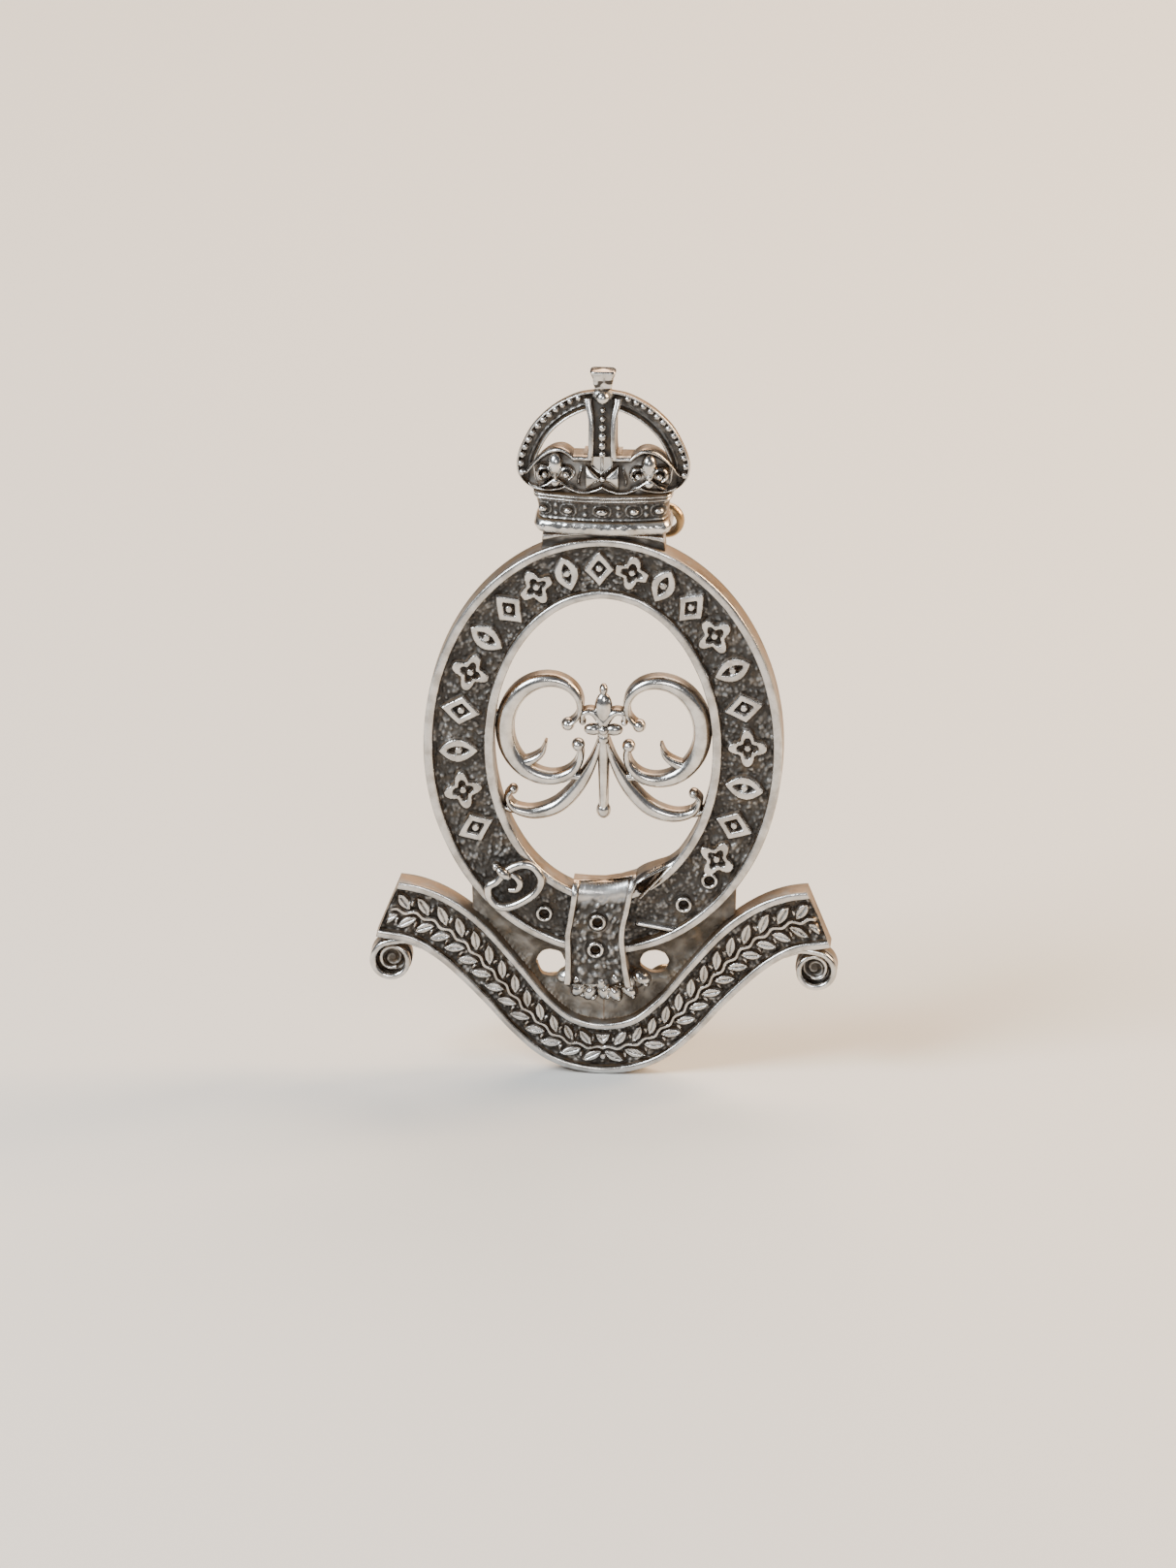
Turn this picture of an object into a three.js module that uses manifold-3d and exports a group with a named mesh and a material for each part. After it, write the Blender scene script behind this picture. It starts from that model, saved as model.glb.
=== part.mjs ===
// A cap badge: a crown over a buckled strap, scrollwork in the pierced centre and a ribbon banner below.
// Millimetres, +Z up. The front faces -Y, the back is y = 0, the origin is the oval's centre.
// "Height" below always means distance off the back, toward the front.
import * as THREE from 'three';
import { mergeVertices } from 'three/addons/utils/BufferGeometryUtils.js';
import Module from 'manifold-3d';

const wasm = await Module();
wasm.setup();

// ---------------------------------------------------------------- sizes
const gap = 0.05; // clearance left between neighbouring pieces
const overAll = 5; // height no piece reaches, for cutting right through

const strapHalfWide = 12.2;
const strapHalfHigh = 15.0;
const strapBand = 4.75; // the band's width at the sides
const strapBandEnd = 4.3; // and at the top and bottom
const strapField = 1.5; // height of the sunk field
const strapRim = 2.0; // height of the raised rims
const strapRimWidth = 0.62;
const strapStations = 60;
const motifRise = 0.4;
const motifReach = 1.2; // half the motif's length across the band
const motifCount = 20;
const motifFirst = -118; // degrees clockwise from the top
const motifLast = 128;

// Crown heights are given above the strap's top edge, everything hanging below from its bottom edge.
const above = (z) => strapHalfHigh + z;
const below = (z) => z - strapHalfHigh;

const bannerWidth = 3.65;
const bannerWiden = 0.16; // share by which the banner grows wider toward its ends
const bannerField = 1.35;
const bannerRim = 1.9;
const bannerRimWidth = 0.46;
const bannerStations = 44;
const bannerSlant = 0.3; // lean of the cut ends
const bannerSlantRun = 3; // length over which they lean
// [share of the strap's half width, height of the banner's upper edge below the strap's bottom edge]
const bannerCourse = [[0, -5.125], [0.225, -4.525], [0.406, -2.775], [0.574, -0.375], [0.762, 2.125],
  [0.91, 3.525], [1.049, 4.325], [1.197, 4.675]];
const bannerMid = bannerCourse.map(([share, z]) => [share * strapHalfWide, below(z - bannerWidth / 2)]);
const leafPitch = 1.34;
const leafLong = 1.5;
const leafWide = 0.62;
const leafLean = 36; // degrees
const leafOff = 0.62; // from the banner's middle line

const curlDrop = 3.8; // from the banner's end down to the curl's centre
const curlIn = 0.18; // of the curl's centre inside the banner's end
const curlRadius = 1.36;
const curlThick = 0.36;
const curlTurns = 1.4;
const curlPitch = 0.62;
const curlHeight = 1.8;
const curlFloor = 1.05;

const webHeight = 1.0;
const webReach = 0.738; // share of the strap's half width
const webHoleLeft = [-3.6, below(-1.25), 0.98, 0.98];
const webHoleRight = [3.45, below(-0.95), 1.02, 0.82];

const tabMid = [[0.12, 5.25], [0, 4.4], [-0.25, 3.1], [-0.5, 1.6], [-0.42, -0.2], [-0.3, -1.6]]
  .map(([x, z]) => [x, below(z)]);
const tabHalfWide = 2.1;
const tabStations = 14;
const tabFloor = 0.35; // sunk field above the tab's back
const tabRim = 0.75; // raised edges above the tab's back
const tabRimWidth = 0.4;
const foldMid = [[2.62, 5.25], [2.95, 5.85], [3.6, 6.18], [4.5, 6.55], [5.2, 7.2]]
  .map(([x, z]) => [x, below(z)]);
const foldWide = 0.44;
const foliageLeaves = 5;
const lumpRadius = 0.75;
const lumpPitch = 1.0;
const lumpLift = 0.35; // of the lumps' middles above the web
const lumpDroop = 0.16;
const foliageAt = [-0.1, below(-2.35)];

const buckleAt = [-5.98, below(4.98)];
const buckleHalfLong = 1.92;
const buckleHalfWide = 1.25;
const buckleBar = 0.56;
const buckleTurn = 32; // degrees
const buckleTall = 0.6;
const tongueMid = [[-6.72, 6.0], [-6.25, 5.85], [-5.8, 5.5], [-5.62, 5.05], [-5.85, 4.62], [-6.4, 4.55]]
  .map(([x, z]) => [x, below(z)]);
const tongueWide = 0.42;
const tongueTall = 0.3;
const tongueKnob = 0.42;

const eyeletOuter = 0.62;
const eyeletInner = 0.3;
const eyeletRise = 0.4;
const strapEyelets = [[-157.1, 0.407], [147.9, 0.387], [135.5, 0.391]]
  .map(([degrees, share]) => [degrees, share * strapBand]);
const tabEyelets = [[-0.3, 2.6], [-0.45, 0.6]].map(([x, z]) => [x, below(z)]);

const scrollBack = 0.4;
const scrollFront = 1.7;
const scrollThin = 0.4;
const scrollThick = 0.86;
const scrollSpan = 8.8; // length either side of the middle over which a scroll thins
const branchThin = 0.36;
const branchThick = 0.7;
const bloomZ = 1.1;
const bloomRadius = 0.85;
const budTip = 4.35;
const budHalf = 0.5;
const stemHalf = 0.26;
const stemFoot = -4.75;
const leafHalf = 0.95;
const drawnOpening = [7.45, 10.7]; // half sizes of the opening the scrollwork is drawn for

const crownBulge = 1.3; // extra height at the crown's centre
const crownEdge = 2.0; // height at the crown's sides
const crownHalf = 6.0;
const collarTop = above(0.75);
const collarHalfFoot = 4.3;
const collarHalfTop = 4.1;
const collarHeight = 1.3;
const rollTop = above(1.5);
const rollHalf = 4.45;
const circletTop = above(2.95);
const circletHalf = 4.5;
const circletSink = 0.45;
const mouldTop = above(3.4);
const mouldHalf = 4.72;
const jewelXs = [-4.0, -2.3, 0, 2.15, 3.8];
const jewelZ = above(2.27);
const jewelRadius = 0.46;
const capPeak = above(6.7);
const capPeakX = 2.9;
const capLevel = above(6.2); // the dip either side of the front arch
const capInner = 1.1;
const capOuter = 5.55;
const capThin = 0.4; // least height of its outer tip
const capFall = 0.37; // how fast the lobes drop away from their peaks
const capFlare = 1.75; // slope of the cap's lower outer side
const capFlareFrom = 4.75;
const capSink = 0.5;
const leafX = 3.2;
const leafZ = above(4.45);
const leafRise = 0.5;
// [share of the cap's outer reach, height above the strap's top edge]
const archCourse = [[0.86, 3.75], [0.955, 4.4], [0.98, 5.3], [0.897, 6.5], [0.739, 7.75], [0.532, 8.85],
  [0.288, 9.6], [0.2, 9.74]];
const archMid = archCourse.map(([share, z]) => [share * capOuter, above(z)]);
const archStations = 20;
const archWide = 1.15;
const archBack = 0.5;
const archFront = 1.85;
const archSink = 0.25; // depth of its field and width of its edges
const pearlRadius = 0.3;
const pearlCount = 12;
const frontArchHalf = 0.96;
const frontArchFlare = 0.3; // growth of its half width at the top
const frontArchFoot = above(5.95);
const frontArchTop = above(9.95);
const frontArchSink = 0.3;
const frontArchLean = 0.9; // how far the top stands back
const frontPearls = 6;
const frontPearlRadius = 0.26;
const bowHalf = 1.05;
const shieldHalf = 0.8;
const coreHalf = 0.4; // of the block behind bow and shield
const orbZ = above(10.4);
const orbRadius = 0.5;
const orbHeight = 1.85;
const finialFoot = above(10.75);
const finialTop = above(12.2);
const finialFootHalf = 0.52;
const finialTopHalf = 0.8;
const finialHeight = 2.25;

const lugWire = 0.42; // radius of the lug's wire
const lugInner = 0.62; // half the clear width inside the loop
const lugReach = 2.6; // from the back to the pin's centre
const lugTopZ = above(-0.1);
const lugBottomZ = below(-3.6);
const pinRadius = 0.52;
const pinSlit = 0.04;
const pinTip = -4.45;
const pinNeck = 2.3;
const pinEyeX = 4.0;
const pinEyeInner = 0.72;

// ---------------------------------------------------------------- materials
const silver = { color: 0xb9b6ae, roughness: 0.34, metalness: 1 };
const silverDark = { color: 0x8d8a82, roughness: 0.45, metalness: 1 };
const silverBright = { color: 0xd2d0ca, roughness: 0.26, metalness: 1 };
const brass = { color: 0xb08d4a, roughness: 0.38, metalness: 1 };

// ---------------------------------------------------------------- helpers
const front = new THREE.Vector3(0, -1, 0);

const at = (x, z, height = 0) => new THREE.Vector3(x, -height, z);

// Rows of corners joined into one closed skin; the signed volume decides which way it faces.
function skin(rings, closed) {
  const count = rings[0].length;
  const points = rings.flat();
  const index = [];
  const rows = closed ? rings.length : rings.length - 1;
  for (let i = 0; i < rows; i += 1) {
    const next = (i + 1) % rings.length;
    for (let j = 0; j < count; j += 1) {
      const k = (j + 1) % count;
      const [a, b, c, d] = [i * count + j, i * count + k, next * count + k, next * count + j];
      index.push(a, b, c, a, c, d);
    }
  }
  return { points, index };
}

function close(mesh) {
  let volume = 0;
  for (let i = 0; i < mesh.index.length; i += 3) {
    const [a, b, c] = mesh.index.slice(i, i + 3).map((n) => mesh.points[n]);
    volume += a.dot(b.clone().cross(c));
  }
  const index = volume < 0 ? mesh.index.reverse() : mesh.index;
  const geometry = new THREE.BufferGeometry();
  const corners = mesh.points.flatMap((p) => [p.x, p.y, p.z]);
  geometry.setAttribute('position', new THREE.Float32BufferAttribute(corners, 3));
  geometry.setIndex(index);
  return geometry;
}

// A section carried through stations. sectionAt(i) lists corners as [across, height] pairs.
function sweep(stations, sectionAt, closed = false) {
  const rings = stations.map((s, i) => sectionAt(i).map(([u, h]) => (
    s.at.clone().addScaledVector(s.across, u).addScaledVector(s.up, h))));
  const mesh = skin(rings, closed);
  if (!closed) {
    const count = rings[0].length;
    const last = (rings.length - 1) * count;
    [[0, 0, true], [last, stations.length - 1, false]].forEach(([from, i, turned]) => {
      const outline = sectionAt(i).map(([u, h]) => new THREE.Vector2(u, h));
      THREE.ShapeUtils.triangulateShape(outline, []).forEach(([a, b, c]) => {
        const [p, q] = turned !== THREE.ShapeUtils.isClockWise(outline) ? [c, b] : [b, c];
        mesh.index.push(from + a, from + p, from + q);
      });
    });
  }
  return close(mesh);
}

// Stations along a smooth curve in the badge's plane; "across" lies to the left of travel.
function flatStations(points, count) {
  const curve = new THREE.CatmullRomCurve3(points.map(([x, z]) => at(x, z)), false, 'centripetal');
  const stations = [];
  for (let i = 0; i <= count; i += 1) {
    const t = curve.getTangentAt(i / count);
    stations.push({ at: curve.getPointAt(i / count), across: new THREE.Vector3(-t.z, 0, t.x), up: front });
  }
  return stations;
}

const mirrored = (points) => [...points.slice(1).reverse().map(([x, z]) => [-x, z]), ...points];

// A rimmed ribbon section: raised edges either side of a sunk field.
const rimmed = (from, to, back, field, rim, leftRim, rightRim) => {
  const slope = 0.12;
  return [[from, back], [to, back], [to, rim - slope], [to - slope, rim], [to - rightRim + slope, rim],
    [to - rightRim, field], [from + leftRim, field], [from + leftRim - slope, rim], [from + slope, rim],
    [from, rim - slope]];
};

const boxSection = (half, back, top) => [[-half, back], [half, back], [half, top], [-half, top]];

// A shape drawn in x and z, given thickness between two heights.
function plate(shape, back, top, bevel = 0) {
  const depth = top - back - bevel;
  const geometry = new THREE.ExtrudeGeometry(shape, {
    depth, bevelEnabled: bevel > 0, bevelThickness: bevel, bevelSize: bevel, bevelOffset: -bevel,
    bevelSegments: 1, curveSegments: 5,
  });
  geometry.translate(0, 0, back);
  geometry.rotateX(Math.PI / 2);
  return geometry;
}

const outline = (points) => new THREE.Shape(points.map(([x, z]) => new THREE.Vector2(x, z)));

function solid(geometry) {
  const bare = geometry.clone();
  bare.deleteAttribute('normal');
  bare.deleteAttribute('uv');
  const merged = mergeVertices(bare, 1e-5);
  return new wasm.Manifold(new wasm.Mesh({
    numProp: 3,
    vertProperties: new Float32Array(merged.attributes.position.array),
    triVerts: new Uint32Array(merged.index.array),
  }));
}

function shell(body) {
  const mesh = body.getMesh();
  const geometry = new THREE.BufferGeometry();
  geometry.setAttribute('position', new THREE.BufferAttribute(new Float32Array(mesh.vertProperties), 3));
  geometry.setIndex(new THREE.BufferAttribute(new Uint32Array(mesh.triVerts), 1));
  return geometry;
}

const join = (...pieces) => shell(pieces.map(solid).reduce((a, b) => a.add(b)));
const cut = (piece, ...tools) => shell(tools.map(solid).reduce((a, b) => a.subtract(b), solid(piece)));

function ball(x, z, height, radius, squash = 1) {
  const geometry = new THREE.SphereGeometry(radius, 7, 4);
  geometry.scale(1, squash, 1);
  geometry.translate(x, -height, z);
  return geometry;
}

// The same piece on the other side of the middle line, still facing out.
function mirror(geometry) {
  const copy = geometry.clone().scale(-1, 1, 1);
  copy.setIndex([...geometry.index.array].reverse());
  return copy;
}

const badge = new THREE.Group();
badge.name = 'cap_badge';

function add(name, geometry, look = silver) {
  const flat = geometry.index ? geometry.toNonIndexed() : geometry;
  flat.computeVertexNormals();
  const mesh = new THREE.Mesh(flat, new THREE.MeshStandardMaterial(look));
  mesh.name = name;
  badge.add(mesh);
}

// ---------------------------------------------------------------- strap
const onEllipse = (degrees, inset, grow = 0) => {
  const t = THREE.MathUtils.degToRad(degrees);
  const high = strapHalfHigh - (inset * strapBandEnd) / strapBand + grow;
  return [(strapHalfWide - inset + grow) * Math.sin(t), high * Math.cos(t)];
};

function strapGeometry() {
  const stations = Array.from({ length: strapStations }, (_, i) => {
    const outer = at(...onEllipse((360 * i) / strapStations, 0));
    const inner = at(...onEllipse((360 * i) / strapStations, strapBand));
    return { at: inner, across: outer.sub(inner).divideScalar(strapBand), up: front };
  });
  const section = rimmed(0, strapBand, 0, strapField, strapRim, strapRimWidth, strapRimWidth);
  return sweep(stations, () => section, true);
}

// Raised motifs take turns: a lozenge, a four-lobed flower and a pointed leaf.
const motifKinds = [
  { sides: 4, edge: (t) => [0.6 * Math.sin(t), Math.cos(t)] },
  { sides: 16, edge: (t) => {
    const lobe = 0.72 + 0.26 * Math.cos(4 * t);
    return [0.85 * lobe * Math.sin(t), lobe * Math.cos(t)];
  } },
  { sides: 12, edge: (t) => [0.5 * Math.sin(t) * Math.abs(Math.sin(t)), Math.cos(t)] },
];

function strapMotif(i) {
  const degrees = motifFirst + ((motifLast - motifFirst) * i) / (motifCount - 1);
  const [x, z] = onEllipse(degrees, strapBand / 2);
  const { sides, edge } = motifKinds[i % motifKinds.length];
  const points = Array.from({ length: sides }, (_, k) => {
    const [across, along] = edge((2 * Math.PI * k) / sides);
    return [motifReach * across, motifReach * along];
  });
  const geometry = plate(outline(points), strapField - 0.2, strapField + motifRise);
  geometry.rotateY(THREE.MathUtils.degToRad(degrees));
  geometry.translate(x, 0, z);
  return geometry;
}

const motifs = Array.from({ length: motifCount }, (_, i) => strapMotif(i));
add('strap_belt', join(strapGeometry(), ...motifs), silver);

// ---------------------------------------------------------------- banner
const bannerSpread = (run) => 1 + bannerWiden * THREE.MathUtils.smoothstep(Math.abs(run), 6, 15);
const bannerCurve = new THREE.CatmullRomCurve3(mirrored(bannerMid).map(([x, z]) => at(x, z)), false,
  'centripetal');
const bannerLong = bannerCurve.getLength();

// The banner's station at a length along it, measured from the middle.
function bannerStation(run) {
  const u = THREE.MathUtils.clamp(0.5 + run / bannerLong, 0, 1);
  const t = bannerCurve.getTangentAt(u);
  const across = new THREE.Vector3(-t.z, 0, t.x).multiplyScalar(bannerSpread(run));
  const end = THREE.MathUtils.smoothstep(Math.abs(run), bannerLong / 2 - bannerSlantRun, bannerLong / 2);
  across.addScaledVector(t, -Math.sign(run) * bannerSlant * end);
  return { at: bannerCurve.getPointAt(u), across, up: front };
}

const bannerPath = Array.from({ length: bannerStations + 1 }, (_, i) => (
  bannerStation(bannerLong * (i / bannerStations - 0.5))));
const bannerEdge = (offset) => bannerPath.map((s) => s.at.clone().addScaledVector(s.across, offset))
  .map((p) => [p.x, p.z]);

function bannerGeometry() {
  const section = rimmed(-bannerWidth / 2, bannerWidth / 2, 0, bannerField, bannerRim,
    bannerRimWidth, bannerRimWidth);
  return sweep(bannerPath, () => section);
}

// Laurel: leaves in two rows, slanting away from the middle toward both ends.
function bannerLeaf(run, row, side) {
  const { at: centre, across } = bannerStation(side * run);
  const shape = new THREE.Shape();
  shape.moveTo(-leafLong / 2, 0);
  shape.quadraticCurveTo(0, leafWide, leafLong / 2, 0);
  shape.quadraticCurveTo(0, -leafWide, -leafLong / 2, 0);
  const leaf = plate(shape, bannerField - 0.2, bannerField + motifRise);
  const turn = Math.atan2(-across.x, across.z);
  leaf.rotateY(-turn - THREE.MathUtils.degToRad(side * row * leafLean));
  const place = centre.clone().addScaledVector(across, row * leafOff);
  leaf.translate(place.x, 0, place.z);
  return leaf;
}

const leaves = [1, -1].flatMap((row) => [1, -1].flatMap((side) => {
  const shift = row > 0 ? 1 : 0.5;
  const count = Math.floor(bannerLong / 2 / leafPitch - 0.9);
  return Array.from({ length: count }, (_, i) => bannerLeaf((i + shift) * leafPitch, row, side));
}));
add('banner_ribbon', join(bannerGeometry(), ...leaves), silver);

function curlGeometry(side) {
  const [endX, endZ] = bannerMid[bannerMid.length - 1];
  const [cx, cz] = [endX - curlIn, endZ - curlDrop];
  const count = 28;
  const stations = Array.from({ length: count + 1 }, (_, i) => {
    const turns = (curlTurns * i) / count;
    const angle = Math.PI / 2 - 2 * Math.PI * turns;
    const radius = curlRadius - curlPitch * Math.max(0, turns - 0.25);
    const out = new THREE.Vector3(side * Math.cos(angle), 0, Math.sin(angle));
    return { at: at(side * cx, cz).addScaledVector(out, radius), across: out, up: front };
  });
  const band = sweep(stations, () => boxSection(curlThick / 2, 0, curlHeight));
  const backing = new THREE.Shape();
  backing.absarc(side * cx, cz, curlRadius, 0, 2 * Math.PI);
  const clear = sweep(bannerPath, () => boxSection(bannerWidth / 2 + gap, -gap, overAll));
  return cut(join(plate(backing, 0, curlFloor), band), clear);
}

add('banner_curl_left', curlGeometry(-1), silverBright);
add('banner_curl_right', curlGeometry(1), silverBright);

// ---------------------------------------------------------------- web between strap and banner
function webGeometry() {
  const reach = webReach * strapHalfWide;
  const ring = [];
  for (let degrees = -180; degrees <= 180; degrees += 4) {
    const point = onEllipse(degrees + 180, 0, gap);
    if (point[1] < 0 && Math.abs(point[0]) < reach) {
      ring.push(point);
    }
  }
  const edge = bannerEdge(bannerWidth / 2 + gap).filter(([x]) => Math.abs(x) < reach);
  const ends = ring[0][0] < 0 ? [...edge].reverse() : edge;
  const shape = outline([...ring, ...ends]);
  [webHoleLeft, webHoleRight].forEach(([x, z, halfX, halfZ]) => {
    const hole = new THREE.Path();
    hole.absellipse(x, z, halfX, halfZ, 0, 2 * Math.PI);
    shape.holes.push(hole);
  });
  return plate(shape, 0, webHeight);
}

add('strap_web', webGeometry(), silverDark);

// ---------------------------------------------------------------- hanging strap end and its trimmings
const tabBack = strapRim + gap;

function tabGeometry() {
  const stations = flatStations(tabMid, tabStations);
  return sweep(stations, (i) => {
    const low = stations[i].at.z < -strapHalfHigh - 0.45;
    return rimmed(-tabHalfWide, tabHalfWide, low ? webHeight : tabBack, tabBack + tabFloor,
      tabBack + tabRim, tabRimWidth, tabRimWidth);
  });
}

add('strap_end_tab', tabGeometry(), silver);
add('strap_fold', sweep(flatStations(foldMid, 12), () => boxSection(foldWide / 2, tabBack, tabBack + tabRim)),
  silverBright);

function foliageGeometry() {
  const [x, z] = foliageAt;
  const lumps = Array.from({ length: foliageLeaves }, (_, i) => {
    const spread = i - (foliageLeaves - 1) / 2;
    const lump = ball(0, 0, 0, lumpRadius);
    lump.scale(0.85, 1.5, 1.05);
    lump.translate(x + spread * lumpPitch, -webHeight - lumpLift, z - lumpDroop * Math.abs(spread));
    return lump;
  });
  const reach = foliageLeaves * lumpPitch;
  const floor = plate(outline([[x - reach, z - reach], [x + reach, z - reach], [x + reach, z + reach],
    [x - reach, z + reach]]), -reach, webHeight);
  const clearTab = sweep(flatStations(tabMid, tabStations), () => boxSection(tabHalfWide + gap, 0, overAll));
  return cut(join(...lumps), floor, clearTab);
}

add('tab_foliage', foliageGeometry(), silverBright);

function eyelet([x, z], height) {
  const profile = [[eyeletInner, 0], [eyeletOuter, 0], [eyeletOuter, eyeletRise * 0.6],
    [(eyeletOuter + eyeletInner) / 2, eyeletRise], [eyeletInner, eyeletRise * 0.7], [eyeletInner, 0]];
  const ring = new THREE.LatheGeometry(profile.map(([r, h]) => new THREE.Vector2(r, h)), 14);
  ring.rotateX(Math.PI);
  ring.translate(x, -height, z);
  return ring;
}

strapEyelets.forEach((spot, i) => (
  add(`eyelet_strap_${i + 1}`, eyelet(onEllipse(...spot), strapField), silverBright)));
tabEyelets.forEach((spot, i) => add(`eyelet_tab_${i + 1}`, eyelet(spot, tabBack + tabFloor), silverBright));

// ---------------------------------------------------------------- buckle
function buckleGeometry() {
  const turn = THREE.MathUtils.degToRad(buckleTurn);
  const stations = Array.from({ length: 28 }, (_, i) => {
    const t = (2 * Math.PI * i) / 28;
    const squared = (v) => Math.sign(v) * Math.abs(v) ** 0.75;
    const [x, z] = [buckleHalfLong * squared(Math.cos(t)), buckleHalfWide * squared(Math.sin(t))];
    const out = new THREE.Vector3(x, 0, z).normalize();
    return { at: new THREE.Vector3(x, 0, z), across: out, up: front };
  });
  const tall = tabBack + buckleTall;
  const half = buckleBar / 2;
  const frame = sweep(stations, () => [[-half, tabBack], [half, tabBack], [half, tall - 0.2],
    [0, tall], [-half, tall - 0.2]], true);
  frame.rotateY(-turn);
  frame.translate(buckleAt[0], 0, buckleAt[1]);
  return frame;
}

add('buckle_frame', buckleGeometry(), silverBright);

const tongueBack = tabBack + buckleTall + gap;
const tongue = sweep(flatStations(tongueMid, 9), () => boxSection(tongueWide / 2, tongueBack,
  tongueBack + tongueTall));
add('buckle_tongue', join(tongue, ball(tongueMid[0][0], tongueMid[0][1], tongueBack + tongueKnob, tongueKnob)),
  silverBright);

// ---------------------------------------------------------------- scrollwork
// The scrollwork grows and shrinks with the opening it fills.
const fitX = (strapHalfWide - strapBand) / drawnOpening[0];
const fitZ = (strapHalfHigh - strapBandEnd) / drawnOpening[1];
const fit = Math.min(fitX, fitZ);

// A scroll's heading turns with its length, faster toward both ends, so each end curls in.
function scrollStations([x, z, heading, before, after, bend, curl], side) {
  const step = 0.38;
  const walk = (length, sign) => {
    const points = [];
    let [px, pz] = [x, z];
    for (let s = 0; s < length; s += step) {
      const mid = sign * (s + step / 2);
      const turn = THREE.MathUtils.degToRad(heading) + bend * mid + curl * mid ** 3;
      px += sign * step * Math.cos(turn);
      pz += sign * step * Math.sin(turn);
      points.push([px, pz, sign * (s + step)]);
    }
    return points;
  };
  const line = [...walk(before, -1).reverse(), [x, z, 0], ...walk(after, 1)];
  return line.map(([px, pz, s], i) => {
    const [ax, az] = line[Math.max(i - 1, 0)];
    const [bx, bz] = line[Math.min(i + 1, line.length - 1)];
    const t = new THREE.Vector3(side * (bx - ax), 0, bz - az).normalize();
    return { at: at(side * fitX * px, fitZ * pz), across: new THREE.Vector3(-t.z, 0, t.x), up: front, s };
  });
}

const cScroll = [-6.72, 1.0, 90, 8.9, 9.9, -0.252, -0.0019];
const branch = [[-0.4, -0.3], [-0.75, -1.3], [-1.75, -3.1], [-3.1, -4.5], [-4.7, -5.05], [-6.05, -4.75],
  [-6.55, -3.95], [-6.25, -3.4]];

const wireSection = (half) => [[-half, scrollBack], [half, scrollBack], [half, scrollFront - 0.2],
  [0, scrollFront], [-half, scrollFront - 0.2]];

function scrollGeometry(side, spare = 0) {
  const stations = scrollStations(cScroll, side);
  return sweep(stations, (i) => {
    const swell = scrollThick * Math.max(0, 1 - (stations[i].s / scrollSpan) ** 2);
    return wireSection((fit * (scrollThin + swell)) / 2 + spare);
  });
}

function branchGeometry(side, spare = 0) {
  const count = 22;
  const stations = flatStations(branch.map(([x, z]) => [side * fitX * x, fitZ * z]), count);
  return sweep(stations, (i) => {
    const swell = branchThick * Math.sin((Math.PI * i) / count);
    return wireSection((fit * (branchThin + swell)) / 2 + spare);
  });
}

const sides = [['left', 1], ['right', -1]];
sides.forEach(([name, side]) => {
  add(`scroll_${name}`, scrollGeometry(side), silverBright);
  add(`tendril_${name}`, cut(branchGeometry(side), scrollGeometry(side, gap)), silverBright);
});

// A four-lobed bloom with a bud above it, a pair of leaves below, all on one stem.
function knotGeometry() {
  const points = Array.from({ length: 24 }, (_, k) => {
    const t = (2 * Math.PI * k) / 24;
    const radius = bloomRadius * (1 + 0.22 * Math.cos(4 * t));
    return [radius * Math.sin(t), bloomZ + radius * Math.cos(t)];
  });
  const stem = plate(outline([[-stemHalf, stemFoot], [stemHalf, stemFoot], [stemHalf, bloomZ],
    [-stemHalf, bloomZ]]), scrollBack, scrollFront - 0.2);
  const bloom = plate(outline(points), scrollBack, scrollFront);
  const budMid = (bloomZ + budTip) / 2;
  const bud = plate(outline([[0, bloomZ], [budHalf, budMid], [0, budTip], [-budHalf, budMid]]), scrollBack,
    scrollFront - 0.1);
  const leafPair = [1, -1].map((side) => {
    const shape = new THREE.Shape();
    shape.moveTo(0, bloomZ - 2 * bloomRadius);
    shape.quadraticCurveTo(side * 0.4 * leafHalf, bloomZ - bloomRadius, side * leafHalf, bloomZ - bloomRadius);
    shape.quadraticCurveTo(side * leafHalf, bloomZ - 2.2 * bloomRadius, 0, bloomZ - 3 * bloomRadius);
    return plate(shape, scrollBack, scrollFront - 0.1);
  });
  const clear = sides.flatMap(([, side]) => [scrollGeometry(side, gap), branchGeometry(side, gap)]);
  return cut(join(stem, bloom, bud, ...leafPair), ...clear);
}

add('scroll_knot', knotGeometry(), silverBright);

// ---------------------------------------------------------------- crown
const crownFront = (x) => crownEdge + crownBulge * (1 - (x / crownHalf) ** 2);

// A stack of level sections from one z to another with a bowed front.
function bowed(levels, count = 12) {
  const stations = levels.map(([z]) => ({ at: at(0, z), across: new THREE.Vector3(1, 0, 0), up: front }));
  return sweep(stations, (i) => {
    const [, half, rise] = levels[i];
    const section = [[-half, 0], [half, 0]];
    for (let k = 0; k <= count; k += 1) {
      const x = half - (2 * half * k) / count;
      section.push([x, crownFront(x) + rise]);
    }
    return section;
  });
}

function collarGeometry() {
  const foot = [];
  for (let degrees = -26; degrees <= 26; degrees += 2) {
    const point = onEllipse(degrees, 0, gap);
    if (Math.abs(point[0]) < collarHalfFoot) {
      foot.push(point);
    }
  }
  return plate(outline([...foot, [collarHalfTop, collarTop], [-collarHalfTop, collarTop]]), 0, collarHeight);
}

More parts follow.
